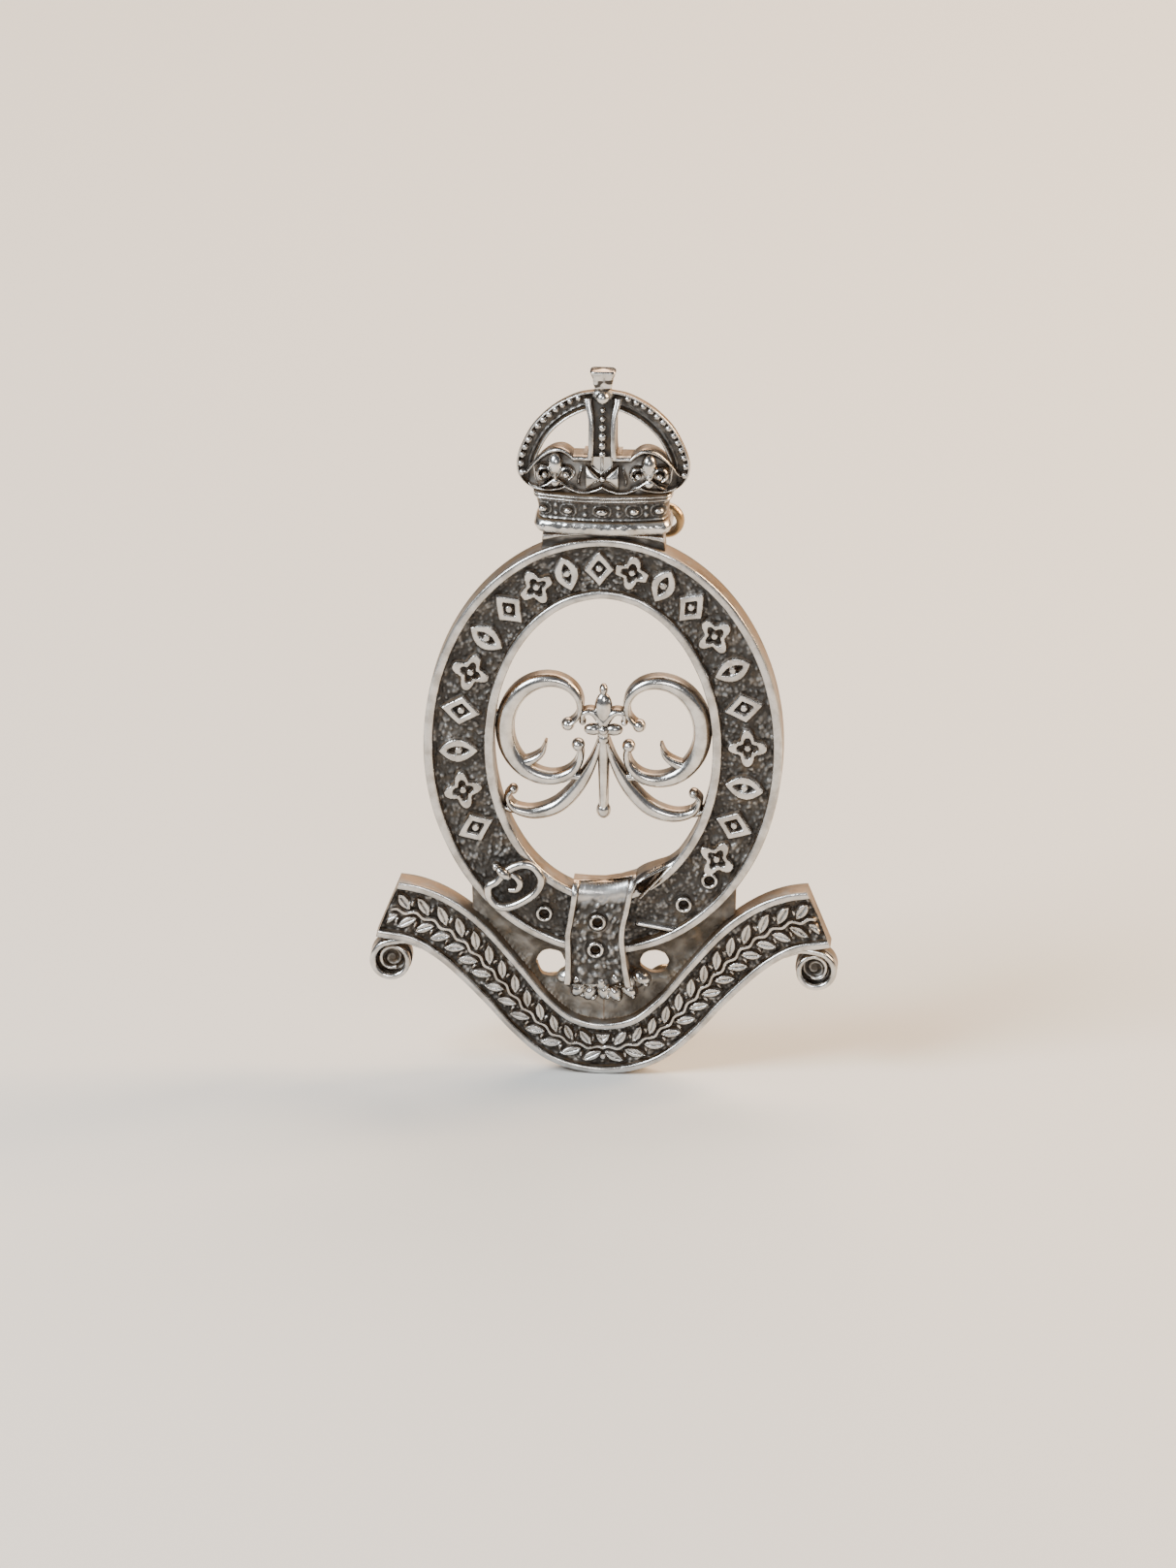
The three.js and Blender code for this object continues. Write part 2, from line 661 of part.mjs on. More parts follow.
add('crown_collar', collarGeometry(), silver);
const rollMid = (collarTop + rollTop) / 2;
const softCorner = 0.12; // of the roll and the moulding
add('crown_roll', bowed([[collarTop, rollHalf - softCorner, -2 * softCorner],
  [collarTop + softCorner, rollHalf, 0],
  [rollMid, rollHalf, softCorner], [rollTop - softCorner, rollHalf, 0],
  [rollTop, rollHalf - softCorner, -2 * softCorner]]), silverBright);
add('crown_circlet', bowed([[rollTop, circletHalf, -circletSink], [circletTop, circletHalf, -circletSink]]),
  silver);
add('crown_moulding', bowed([[circletTop, mouldHalf, -softCorner], [circletTop + softCorner, mouldHalf, 0],
  [mouldTop - softCorner, mouldHalf, 0], [mouldTop, mouldHalf, -softCorner]]), silverBright);

const circletTool = bowed([[rollTop - 1, circletHalf, -circletSink],
  [circletTop + 1, circletHalf, -circletSink]]);
jewelXs.forEach((x, i) => {
  const jewel = ball(0, 0, 0, jewelRadius);
  jewel.scale(i === 2 ? 1.4 : 1, 1, 1);
  jewel.translate(x, -(crownFront(x) - circletSink), jewelZ);
  add(`circlet_jewel_${i + 1}`, cut(jewel, circletTool), silverBright);
});

// The cap's two lobes: slices across x from the moulding up to a rounded top.
function capGeometry(side) {
  const count = 14;
  const stations = Array.from({ length: count + 1 }, (_, i) => {
    const x = side * (capInner + ((capOuter - capInner) * i) / count);
    return { at: at(x, 0), across: new THREE.Vector3(0, 0, 1), up: front, x };
  });
  return sweep(stations, (i) => {
    const reach = Math.abs(stations[i].x);
    const lobe = capPeak - capFall * (reach - capPeakX) ** 2;
    const bottom = mouldTop + Math.max(0, reach - capFlareFrom) * capFlare;
    const top = reach < capPeakX ? Math.max(lobe, capLevel) : Math.max(lobe, bottom + capThin);
    const tall = crownFront(reach) - capSink;
    const round = Math.min(0.5, (top - bottom) / 3);
    return [[bottom, 0], [top, 0], [top, tall - 0.7], [top - round * 0.3, tall - 0.3], [top - round, tall],
      [bottom, tall]];
  });
}

const caps = [capGeometry(-1), capGeometry(1)];
const moulding = bowed([[rollTop, mouldHalf, 0], [mouldTop, mouldHalf, 0]]);
add('crown_cap_left', caps[0], silver);
add('crown_cap_right', caps[1], silver);

function archGeometry() {
  const stations = flatStations(archMid.map(([x, z]) => [-x, z]), archStations);
  const section = rimmed(-archWide / 2, archWide / 2, archBack, archFront - archSink, archFront,
    archSink, archSink);
  const band = sweep(stations, () => section);
  const pearls = Array.from({ length: pearlCount }, (_, i) => {
    const { at: centre } = stations[Math.round(3 + ((archStations - 4) * i) / (pearlCount - 1))];
    return ball(centre.x, centre.z, archFront - archSink, pearlRadius);
  });
  return cut(join(band, ...pearls), caps[0], moulding);
}

const archLeft = archGeometry();
const archTools = [archLeft, mirror(archLeft)];
add('crown_arch_left', archTools[0], silver);
add('crown_arch_right', archTools[1], silver);

// Everything on the crown's middle line is bowed to the same front.
function bowPlate(points, back, rise, below) {
  const stations = points.map(([z]) => ({ at: at(0, z), across: new THREE.Vector3(1, 0, 0), up: front }));
  return sweep(stations, (i) => {
    const [, half] = points[i];
    const tall = crownFront(0) + rise;
    return [[-half, back], [half, back], [half, tall - 0.15 - below], [half * 0.55, tall - 0.15 - below],
      [half * 0.45, tall], [-half * 0.45, tall], [-half * 0.55, tall - 0.15 - below],
      [-half, tall - 0.15 - below]];
  });
}

const frontArchTall = crownFront(0) - frontArchSink;

function frontArchGeometry() {
  const count = 6;
  const stations = Array.from({ length: count + 1 }, (_, i) => {
    const z = frontArchFoot + ((frontArchTop - frontArchFoot) * i) / count;
    return { at: at(0, z), across: new THREE.Vector3(1, 0, 0), up: front };
  });
  const lean = (t) => frontArchLean * t * t;
  const band = sweep(stations, (i) => {
    const t = i / count;
    const half = frontArchHalf + frontArchFlare * t * t;
    return rimmed(-half, half, archBack, frontArchTall - archSink - lean(t), frontArchTall - lean(t),
      archSink, archSink);
  });
  const pearls = Array.from({ length: frontPearls }, (_, i) => {
    const t = (i + 0.7) / (frontPearls + 0.8);
    const z = frontArchFoot + (frontArchTop - frontArchFoot) * t;
    return ball(0, z, frontArchTall - archSink - lean(t), frontPearlRadius, 1.2);
  });
  return cut(join(band, ...pearls), caps[0], caps[1]);
}

const frontArch = frontArchGeometry();
add('crown_arch_front', cut(frontArch, ...archTools), silver);

// A bow low on the middle line with a small shield between it and the front arch.
function ornamentGeometry() {
  const tall = frontArchFoot - mouldTop;
  const bow = bowPlate([[mouldTop, bowHalf], [mouldTop + 0.24 * tall, 0.45 * bowHalf],
    [mouldTop + 0.3 * tall, 0.45 * bowHalf], [mouldTop + 0.62 * tall, bowHalf]], 0, 0.1, 0.1);
  const shield = bowPlate([[mouldTop + 0.62 * tall, 0.6 * shieldHalf], [mouldTop + 0.72 * tall, shieldHalf],
    [mouldTop + 0.88 * tall, shieldHalf], [frontArchFoot, 0.6 * shieldHalf]], 0, 0.2, 0.1);
  const core = plate(outline([[-coreHalf, mouldTop], [coreHalf, mouldTop], [coreHalf, frontArchFoot],
    [-coreHalf, frontArchFoot]]), 0, frontArchTall - 2 * archSink);
  return cut(join(bow, shield, core), ...caps);
}

add('crown_centre_ornament', ornamentGeometry(), silverBright);

// A three-lobed leaf lying on each lobe of the cap; petals are [x, z, half width, half length, lean].
function leafGeometry() {
  const petals = [[0, 0.85, 0.42, 1.0, 0], [-0.75, 0.42, 0.36, 0.78, 48], [0.75, 0.42, 0.36, 0.78, -48],
    [0, -0.25, 0.9, 0.36, 0]];
  const height = crownFront(leafX) - capSink;
  const parts = petals.map(([dx, dz, wide, tall, lean]) => {
    const petal = ball(0, 0, 0, 1);
    petal.scale(wide, leafRise, tall);
    petal.rotateY(THREE.MathUtils.degToRad(-lean));
    petal.translate(dx - leafX, -height, leafZ + dz);
    return petal;
  });
  return cut(join(...parts), caps[0], moulding);
}

const leafPiece = leafGeometry();
add('crown_leaf_left', leafPiece, silverBright);
add('crown_leaf_right', mirror(leafPiece), silverBright);

const orb = ball(0, orbZ, orbHeight, orbRadius);
const orbSeat = plate(outline([[-1.5 * orbRadius, frontArchTop], [1.5 * orbRadius, frontArchTop],
  [orbRadius, orbZ], [-orbRadius, orbZ]]), archBack, orbHeight);
add('crown_orb', cut(join(orb, orbSeat), frontArch, ...archTools), silverBright);

// A flared block with softened corners; levels are [z, half width, half depth].
function finialGeometry() {
  const tall = finialTop - finialFoot;
  const levels = [[finialFoot, finialFootHalf, 0.5], [finialFoot + 0.25 * tall, 0.9 * finialFootHalf, 0.42],
    [finialTop - 0.15 * tall, finialTopHalf, 0.6], [finialTop, 0.85 * finialTopHalf, 0.5]];
  const middle = finialHeight - 0.6;
  const body = sweep(levels.map(([z]) => ({ at: at(0, z), across: new THREE.Vector3(1, 0, 0), up: front })),
    (i) => {
      const [, half, deep] = levels[i];
      return Array.from({ length: 8 }, (_, k) => {
        const t = (Math.PI * (k + 0.5)) / 4;
        return [half * 1.08 * Math.cos(t), middle + deep * Math.sin(t)];
      });
    });
  const foot = plate(outline([[-0.4, orbZ], [0.4, orbZ], [0.4, finialFoot + 0.1], [-0.4, finialFoot + 0.1]]),
    middle - 0.35, middle + 0.35);
  return cut(join(body, foot), join(orb, orbSeat));
}

add('crown_finial', finialGeometry(), silverBright);

// ---------------------------------------------------------------- lugs and split pins
function lugGeometry(z) {
  const radius = lugInner + lugWire;
  const path = [[0, -radius]];
  for (let degrees = 0; degrees <= 180; degrees += 20) {
    const t = THREE.MathUtils.degToRad(degrees);
    path.push([lugReach + radius * Math.sin(t), -radius * Math.cos(t)]);
  }
  path.push([0, radius]);
  const stations = path.map(([y, dz], i) => {
    const a = path[Math.max(i - 1, 0)];
    const b = path[Math.min(i + 1, path.length - 1)];
    const straight = i === 0 || i === path.length - 1;
    const t = new THREE.Vector3(0, b[0] - a[0], straight ? 0 : b[1] - a[1]).normalize();
    return { at: new THREE.Vector3(0, y, z + dz), across: new THREE.Vector3(0, -t.z, t.y),
      up: new THREE.Vector3(1, 0, 0) };
  });
  return sweep(stations, () => Array.from({ length: 8 }, (_, k) => {
    const t = (Math.PI * k) / 4;
    return [lugWire * Math.cos(t), lugWire * Math.sin(t)];
  }));
}

add('lug_top', lugGeometry(lugTopZ), brass);
add('lug_bottom', lugGeometry(lugBottomZ), brass);

// One half-round wire: along one leg, round the eye and back along the other.
function pinGeometry(z) {
  const path = new THREE.CurvePath();
  const v = (x, dz) => new THREE.Vector3(x, lugReach, dz);
  path.add(new THREE.LineCurve3(v(pinTip, pinSlit), v(pinNeck, pinSlit)));
  path.add(new THREE.CubicBezierCurve3(v(pinNeck, pinSlit), v(pinNeck + 0.7, pinSlit),
    v(pinEyeX - 0.85, pinEyeInner), v(pinEyeX, pinEyeInner)));
  const half = [];
  path.curves.forEach((curve, i) => {
    const count = i ? 6 : 1;
    for (let k = i ? 1 : 0; k <= count; k += 1) {
      half.push([curve.getPoint(k / count), curve.getTangent(k / count)]);
    }
  });
  const arc = [];
  for (let degrees = 75; degrees >= -75; degrees -= 25) {
    const t = THREE.MathUtils.degToRad(degrees);
    arc.push([v(pinEyeX + pinEyeInner * Math.cos(t), pinEyeInner * Math.sin(t)),
      new THREE.Vector3(Math.sin(t), 0, -Math.cos(t))]);
  }
  const back = half.map(([p, t]) => [p.clone().setZ(-p.z), t.clone().setX(-t.x)]).reverse();
  const stations = [...half, ...arc, ...back].map(([p, t]) => ({
    at: p.clone().add(new THREE.Vector3(0, 0, z)),
    across: new THREE.Vector3(-t.z, 0, t.x).normalize(),
    up: new THREE.Vector3(0, 1, 0),
  }));
  const section = Array.from({ length: 7 }, (_, k) => {
    const t = (Math.PI * k) / 6;
    return [pinRadius * Math.sin(t), pinRadius * Math.cos(t)];
  });
  return sweep(stations, () => section);
}

add('split_pin_top', pinGeometry(lugTopZ), brass);
add('split_pin_bottom', pinGeometry(lugBottomZ), brass);

export default badge;
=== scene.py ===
import bpy
import numpy as np
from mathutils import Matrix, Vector


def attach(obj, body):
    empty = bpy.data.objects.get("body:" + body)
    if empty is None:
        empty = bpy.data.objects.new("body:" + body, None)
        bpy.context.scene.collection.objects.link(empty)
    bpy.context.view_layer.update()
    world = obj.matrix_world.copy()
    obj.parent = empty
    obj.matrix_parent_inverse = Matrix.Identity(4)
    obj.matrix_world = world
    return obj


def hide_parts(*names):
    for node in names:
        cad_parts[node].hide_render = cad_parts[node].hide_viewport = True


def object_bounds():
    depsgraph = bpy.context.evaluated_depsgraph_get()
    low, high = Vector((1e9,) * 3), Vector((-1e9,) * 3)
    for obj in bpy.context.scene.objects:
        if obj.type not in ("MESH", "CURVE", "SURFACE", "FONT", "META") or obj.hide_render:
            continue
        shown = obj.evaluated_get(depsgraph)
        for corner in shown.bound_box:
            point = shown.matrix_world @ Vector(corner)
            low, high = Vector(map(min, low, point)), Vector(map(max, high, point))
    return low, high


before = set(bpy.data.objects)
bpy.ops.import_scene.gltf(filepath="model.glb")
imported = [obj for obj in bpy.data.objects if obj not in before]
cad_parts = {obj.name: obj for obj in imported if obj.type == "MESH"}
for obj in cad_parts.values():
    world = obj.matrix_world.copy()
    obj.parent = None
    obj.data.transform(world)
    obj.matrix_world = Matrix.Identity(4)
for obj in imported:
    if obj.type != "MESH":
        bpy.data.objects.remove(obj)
cadBox = [list(corner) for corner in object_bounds()]
print("frame loaded,", len(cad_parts), "nodes")

# Sizes below are millimetres: x to the right, z up, height h off the flat back toward the front.
pi = np.pi


def smoothStep(low, high, value):
    # 0 below low, 1 above high, an S-shaped rise between
    t = np.clip((value - low) / (high - low), 0, 1)
    return t * t * (3 - 2 * t)


def softNoise(u, v, seed):
    # random values on a lattice, blended with an S-curve between lattice points, -1 to 1
    table = np.random.default_rng(seed).random((128, 128)) * 2 - 1
    iu, iv = np.floor(u).astype(int), np.floor(v).astype(int)
    fu, fv = u - iu, v - iv
    fu, fv = fu * fu * (3 - 2 * fu), fv * fv * (3 - 2 * fv)
    at = lambda a, b: table[(iu + a) % 128, (iv + b) % 128]
    return ((at(0, 0) * (1 - fu) + at(1, 0) * fu) * (1 - fv)
            + (at(0, 1) * (1 - fu) + at(1, 1) * fu) * fv)


def pebbles(u, v, size, seed):
    # rounded bumps about jittered lattice points: 1 minus distance squared over radius squared,
    # and the highest bump wins
    table = np.random.default_rng(seed).random((4, 128, 128))
    iu, iv = np.floor(u / size).astype(int), np.floor(v / size).astype(int)
    best = np.zeros(np.broadcast(u, v).shape)
    for du in (-1, 0, 1):
        for dv in (-1, 0, 1):
            cu, cv = iu + du, iv + dv
            a, b, r, tall = (table[k, cu % 128, cv % 128] for k in range(4))
            radius = size * (0.42 + 0.24 * r)
            gap = (u - (cu + a) * size) ** 2 + (v - (cv + b) * size) ** 2
            best = np.maximum(best, (0.45 + 0.55 * tall) * (1 - gap / radius ** 2))
    return best


def blur(field, reach):
    # running mean along both axes, edges held
    for axis in (0, 1):
        pad = [(reach + 1, reach) if k == axis else (0, 0) for k in range(2)]
        total = np.cumsum(np.pad(field, pad, mode="edge"), axis=axis)
        span = field.shape[axis]
        high = np.take(total, range(2 * reach + 1, 2 * reach + 1 + span), axis=axis)
        low = np.take(total, range(0, span), axis=axis)
        field = (high - low) / (2 * reach + 1)
    return field


def gridQuads(rows, cols, wrapRows=False, wrapCols=False):
    # corner numbers of every cell of a rows by cols grid
    i = np.arange(rows if wrapRows else rows - 1)[:, None]
    j = np.arange(cols if wrapCols else cols - 1)[None, :]
    ni, nj = (i + 1) % rows, (j + 1) % cols
    return np.stack(np.broadcast_arrays(i * cols + j, i * cols + nj, ni * cols + nj, ni * cols + j),
                    -1).reshape(-1, 4)


def capTris(rows, cols):
    # triangles closing the first and last ring of a tube on two points added after its own
    ring, after = np.arange(cols), (np.arange(cols) + 1) % cols
    last = (rows - 1) * cols
    return np.concatenate([np.stack([np.full(cols, rows * cols), after, ring], -1),
                           np.stack([np.full(cols, rows * cols + 1), ring + last, after + last], -1)])


def outward(shape):
    # turns every face round if the enclosed volume comes out negative
    points, quads, tris, tone = shape
    fans = [tris] if len(tris) else []
    if len(quads):
        fans += [quads[:, [0, 1, 2]], quads[:, [0, 2, 3]]]
    every = np.concatenate(fans)
    a, b, c = (points[every[:, k]] for k in range(3))
    if np.sum(a * np.cross(b, c)) < 0:
        quads, tris = quads[:, ::-1], tris[:, ::-1]
    return points, quads, tris, tone


noTris = np.zeros((0, 3), int)


def joined(shapes):
    # several closed shapes as one list of points and faces
    shapes = list(shapes)
    start = np.cumsum([0] + [len(s[0]) for s in shapes[:-1]])
    return (np.concatenate([s[0] for s in shapes]),
            np.concatenate([s[1] + n for s, n in zip(shapes, start)]),
            np.concatenate([s[2] + n for s, n in zip(shapes, start)]),
            np.concatenate([s[3] for s in shapes]))


def carried(centre, across, up, w, h, tone, closed=False):
    # a section carried along a path: each point is centre + w * across + h * up,
    # and open ends close on a middle point
    points = centre[:, None, :] + w[..., None] * across[:, None, :] + h[..., None] * up[:, None, :]
    rows, cols = w.shape
    quads = gridQuads(rows, cols, closed, True)
    flat, tone = points.reshape(-1, 3), tone.reshape(-1)
    tris = noTris
    if not closed:
        tris = capTris(rows, cols)
        flat = np.concatenate([flat, points[[0, -1]].mean(1)])
        tone = np.concatenate([tone, [tone[:cols].mean(), tone[-cols:].mean()]])
    return outward((flat, quads, tris, tone))


def slab(x, z, h, tone, back=0.0, sideTone=0.45, rearX=None, rearZ=None):
    # a front surface over a grid, walls round its edge and a flat grid behind, drawn in where asked
    rows, cols = x.shape
    front = np.stack([x, -h, z], -1).reshape(-1, 3)
    rearX, rearZ = x if rearX is None else rearX, z if rearZ is None else rearZ
    rear = np.stack([rearX, np.full_like(x, -back), rearZ], -1).reshape(-1, 3)
    count = rows * cols
    sheet = gridQuads(rows, cols)
    n = np.arange(count).reshape(rows, cols)
    rim = np.concatenate([n[0, :], n[1:, -1], n[-1, -2::-1], n[-2:0:-1, 0]])
    after = np.roll(rim, -1)
    walls = np.stack([rim, rim + count, after + count, after], -1)
    quads = np.concatenate([sheet, sheet[:, ::-1] + count, walls])
    return outward((np.concatenate([front, rear]), quads, noTris,
                    np.concatenate([tone.reshape(-1), np.full(count, sideTone)])))


def blob(centre, radii, turn=0.0, rows=10, cols=16, power=1.0, tone=(0.35, 1.0)):
    # an ellipsoid about centre (x, h, z), turned in the front plane; tone climbs toward the front
    lat = np.linspace(-pi / 2, pi / 2, rows + 2)[1:-1][:, None]
    lon = np.linspace(0, 2 * pi, cols, endpoint=False)[None, :]
    a = radii[0] * np.cos(lat) ** power * np.cos(lon)
    b = radii[2] * np.cos(lat) ** power * np.sin(lon)
    h = radii[1] * np.sin(lat) * np.ones_like(lon)
    tips = np.array([[0, -radii[1], 0], [0, radii[1], 0]])
    local = np.concatenate([np.stack([a, h, b], -1).reshape(-1, 3), tips])
    c, s = np.cos(turn), np.sin(turn)
    x = centre[0] + local[:, 0] * c + local[:, 2] * s
    z = centre[2] - local[:, 0] * s + local[:, 2] * c
    points = np.stack([x, -(centre[1] + local[:, 1]), z], -1)
    lift = np.clip(local[:, 1] / radii[1], 0, 1)
    return outward((points, gridQuads(rows, cols, False, True), capTris(rows, cols),
                    tone[0] + (tone[1] - tone[0]) * smoothStep(0.0, 0.7, lift)))


def lengthAlong(line):
    # running length from the first point of a line
    return np.concatenate([[0], np.cumsum(np.linalg.norm(np.diff(line, axis=0), axis=1))])


def unitSteps(line):
    # direction of travel at every point of a line
    step = np.gradient(line, axis=0)
    return step / np.linalg.norm(step, axis=1)[:, None]


def perPoint(value, line):
    # one value, or one for each point of a line, as a column
    return np.broadcast_to(np.asarray(value, float).reshape(-1, 1), (len(line), 1))


def atEach(count, *outline):
    # the same outline once for every station of a path
    return [np.tile(part, (count, 1)) for part in outline]


def spread(knots, count):
    # a smooth curve through the knots (Catmull-Rom), walked in equal steps of length
    p = np.array(knots, float)
    p = np.concatenate([[2 * p[0] - p[1]], p, [2 * p[-1] - p[-2]]])
    t = np.linspace(0, 1, 41)[:-1, None]
    parts = []
    for k in range(1, len(p) - 2):
        a, b, c, d = p[k - 1], p[k], p[k + 1], p[k + 2]
        parts.append(0.5 * (2 * b + (c - a) * t + (2 * a - 5 * b + 4 * c - d) * t ** 2
                            + (3 * b - a - 3 * c + d) * t ** 3))
    line = np.concatenate(parts + [p[-2][None]])
    run = lengthAlong(line)
    even = np.linspace(0, run[-1], count)
    return np.stack([np.interp(even, run, line[:, k]) for k in range(line.shape[1])], -1), even


def flatFrame(line):
    # path in (x, z): its points, its left-hand normals and the direction out of the front
    step = unitSteps(line)
    centre = np.stack([line[:, 0], np.zeros(len(line)), line[:, 1]], -1)
    across = np.stack([-step[:, 1], np.zeros(len(line)), step[:, 0]], -1)
    return centre, across, np.tile([0.0, -1.0, 0.0], (len(line), 1))


def sideways(points, quads, tris):
    # 1 on side walls, 0 on fronts and backs, from the summed normals of the faces round each point
    fans = np.concatenate([quads[:, [0, 1, 2]], quads[:, [0, 2, 3]], tris])
    a, b, c = (points[fans[:, k]] for k in range(3))
    face = np.cross(b - a, c - a)
    total = np.zeros_like(points)
    for k in range(3):
        for axis in range(3):
            total[:, axis] += np.bincount(fans[:, k], face[:, axis], len(points))
    total /= np.linalg.norm(total, axis=1)[:, None] + 1e-12
    return smoothStep(0.62, 0.2, -total[:, 1]) * smoothStep(0.85, 0.4, total[:, 1])


# edges that turn by more than this many degrees are shown sharp
sharpTurn = 48


def makePiece(name, shape, look, nodes, body="badge"):
    points, quads, tris, tone = shape
    mesh = bpy.data.meshes.new(name)
    mesh.vertices.add(len(points))
    mesh.vertices.foreach_set("co", (points * 0.001).astype(np.float32).ravel())
    corners = np.concatenate([quads.ravel(), tris.ravel()])
    sizes = np.concatenate([np.full(len(quads), 4), np.full(len(tris), 3)])
    mesh.loops.add(len(corners))
    mesh.loops.foreach_set("vertex_index", corners.astype(np.int32))
    mesh.polygons.add(len(sizes))
    mesh.polygons.foreach_set("loop_start", np.concatenate([[0], np.cumsum(sizes)[:-1]]).astype(np.int32))
    mesh.polygons.foreach_set("use_smooth", np.ones(len(sizes), bool))
    mesh.attributes.new("tone", "FLOAT", "POINT").data.foreach_set("value", tone.astype(np.float32))
    # side-wall mask that carries the painted brown shade on the walls
    mesh.attributes.new("paintedWallShade", "FLOAT", "POINT").data.foreach_set(
        "value", sideways(points, quads, tris).astype(np.float32))
    mesh.update(calc_edges=True)
    mesh.validate()
    mesh.set_sharp_from_angle(angle=np.radians(sharpTurn))
    mesh.materials.append(look)
    piece = bpy.data.objects.new(name, mesh)
    bpy.context.scene.collection.objects.link(piece)
    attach(piece, body)
    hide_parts(*nodes)


def makePair(name, node, shapeOf, look):
    # the left and the right piece of one design, told apart by the sign of x
    for side, word in ((-1, "Left"), (1, "Right")):
        makePiece(name + word, shapeOf(side), look, [node + word.lower()])


# ---- finishes
def newGroup(name, inputs, outputs):
    tree = bpy.data.node_groups.new(name, "ShaderNodeTree")
    for label, kind, value in inputs:
        socket = tree.interface.new_socket(name=label, in_out="INPUT", socket_type=kind)
        socket.default_value = value
    for label, kind in outputs:
        tree.interface.new_socket(name=label, in_out="OUTPUT", socket_type=kind)
    return tree, tree.nodes.new("NodeGroupInput"), tree.nodes.new("NodeGroupOutput")


def addNode(tree, kind, **settings):
    node = tree.nodes.new(kind)
    for key, value in settings.items():
        setattr(node, key, value)
    return node


def mathNode(tree, operation, a, b):
    node = addNode(tree, "ShaderNodeMath", operation=operation)
    for k, value in enumerate((a, b)):
        if isinstance(value, (int, float)):
            node.inputs[k].default_value = value
        else:
            tree.links.new(value, node.inputs[k])
    return node.outputs[0]


def times(tree, a, b):
    return mathNode(tree, "MULTIPLY", a, b)


def plus(tree, a, b):
    return mathNode(tree, "ADD", a, b)


def minus(tree, a, b):
    return mathNode(tree, "SUBTRACT", a, b)


def rampNode(tree, source, low, high):
    node = addNode(tree, "ShaderNodeMapRange", interpolation_type="SMOOTHSTEP")
    tree.links.new(source, node.inputs["Value"])
    node.inputs["From Min"].default_value = low
    node.inputs["From Max"].default_value = high
    return node.outputs["Result"]


def mixColour(tree, factor, a, b):
    node = addNode(tree, "ShaderNodeMix", data_type="RGBA")
    tree.links.new(factor, node.inputs["Factor"])
    colourIn = [s for s in node.inputs if s.type == "RGBA"]
    for socket, value in zip(colourIn, (a, b)):
        if isinstance(value, tuple):
            socket.default_value = (*value, 1)
        else:
            tree.links.new(value, socket)
    return [s for s in node.outputs if s.type == "RGBA"][0]


def noiseNode(tree, coords, scale, detail=4.0, roughness=0.55):
    node = addNode(tree, "ShaderNodeTexNoise")
    tree.links.new(coords, node.inputs["Vector"])
    node.inputs["Scale"].default_value = scale
    node.inputs["Detail"].default_value = detail
    node.inputs["Roughness"].default_value = roughness
    return node.outputs["Fac"]


def grainGroup():
    # fine handling marks: cloudy dulling, pits and crossed hairline scratches
    tree, start, end = newGroup("handlingGrain", [("Vector", "NodeSocketVector", (0, 0, 0)),
                                                  ("Depth", "NodeSocketFloat", 1.0)],
                                [("Cloud", "NodeSocketFloat"), ("Height", "NodeSocketFloat")])
    coords = start.outputs["Vector"]
    cloud = noiseNode(tree, coords, 420, 5)
    fine = noiseNode(tree, coords, 5200, 3, 0.7)
    scratch = []
    for turn, stretch in ((0.6, 5200), (-0.9, 6400)):
        place = addNode(tree, "ShaderNodeMapping")
        tree.links.new(coords, place.inputs["Vector"])
        place.inputs["Rotation"].default_value = (0, turn, 0)
        place.inputs["Scale"].default_value = (stretch, 300, 260)
        lines = noiseNode(tree, place.outputs["Vector"], 1.0, 2)
        scratch.append(rampNode(tree, lines, 0.62, 0.72))
    both = mathNode(tree, "MAXIMUM", scratch[0], scratch[1])
    height = minus(tree, times(tree, fine, 0.6), times(tree, both, 0.35))
    tree.links.new(cloud, end.inputs["Cloud"])
    tree.links.new(times(tree, height, start.outputs["Depth"]), end.inputs["Height"])
    return tree


def tarnishGroup():
    # how bare the metal is: the piece's own tone (its relief, with painted shade in some places), shifted by
    # blotches,
    # from packed dark recess to rubbed edge
    inputs = [("Tone", "NodeSocketFloat", 0.5), ("Cloud", "NodeSocketFloat", 0.5),
              ("Vector", "NodeSocketVector", (0, 0, 0)), ("Rub", "NodeSocketFloat", 0.0)]
    tree, start, end = newGroup("tarnish", inputs, [(label, "NodeSocketFloat")
                                                    for label in ("Bare", "Blotch", "Crust")])
    blotch = noiseNode(tree, start.outputs["Vector"], 900, 4, 0.6)
    shift = times(tree, minus(tree, blotch, 0.5), 0.55)
    cloudy = times(tree, minus(tree, start.outputs["Cloud"], 0.5), 0.35)
    shifted = plus(tree, start.outputs["Tone"], shift)
    total = plus(tree, plus(tree, shifted, cloudy), start.outputs["Rub"])
    tree.links.new(rampNode(tree, total, 0.12, 0.78), end.inputs["Bare"])
    tree.links.new(blotch, end.inputs["Blotch"])
    crust = noiseNode(tree, start.outputs["Vector"], 650, 6, 0.7)
    tree.links.new(rampNode(tree, crust, 0.5, 0.66), end.inputs["Crust"])
    return tree


grain, tarnish = grainGroup(), tarnishGroup()
# dark brown painted onto side walls as shade
wallShadeTint = (0.17, 0.105, 0.052)


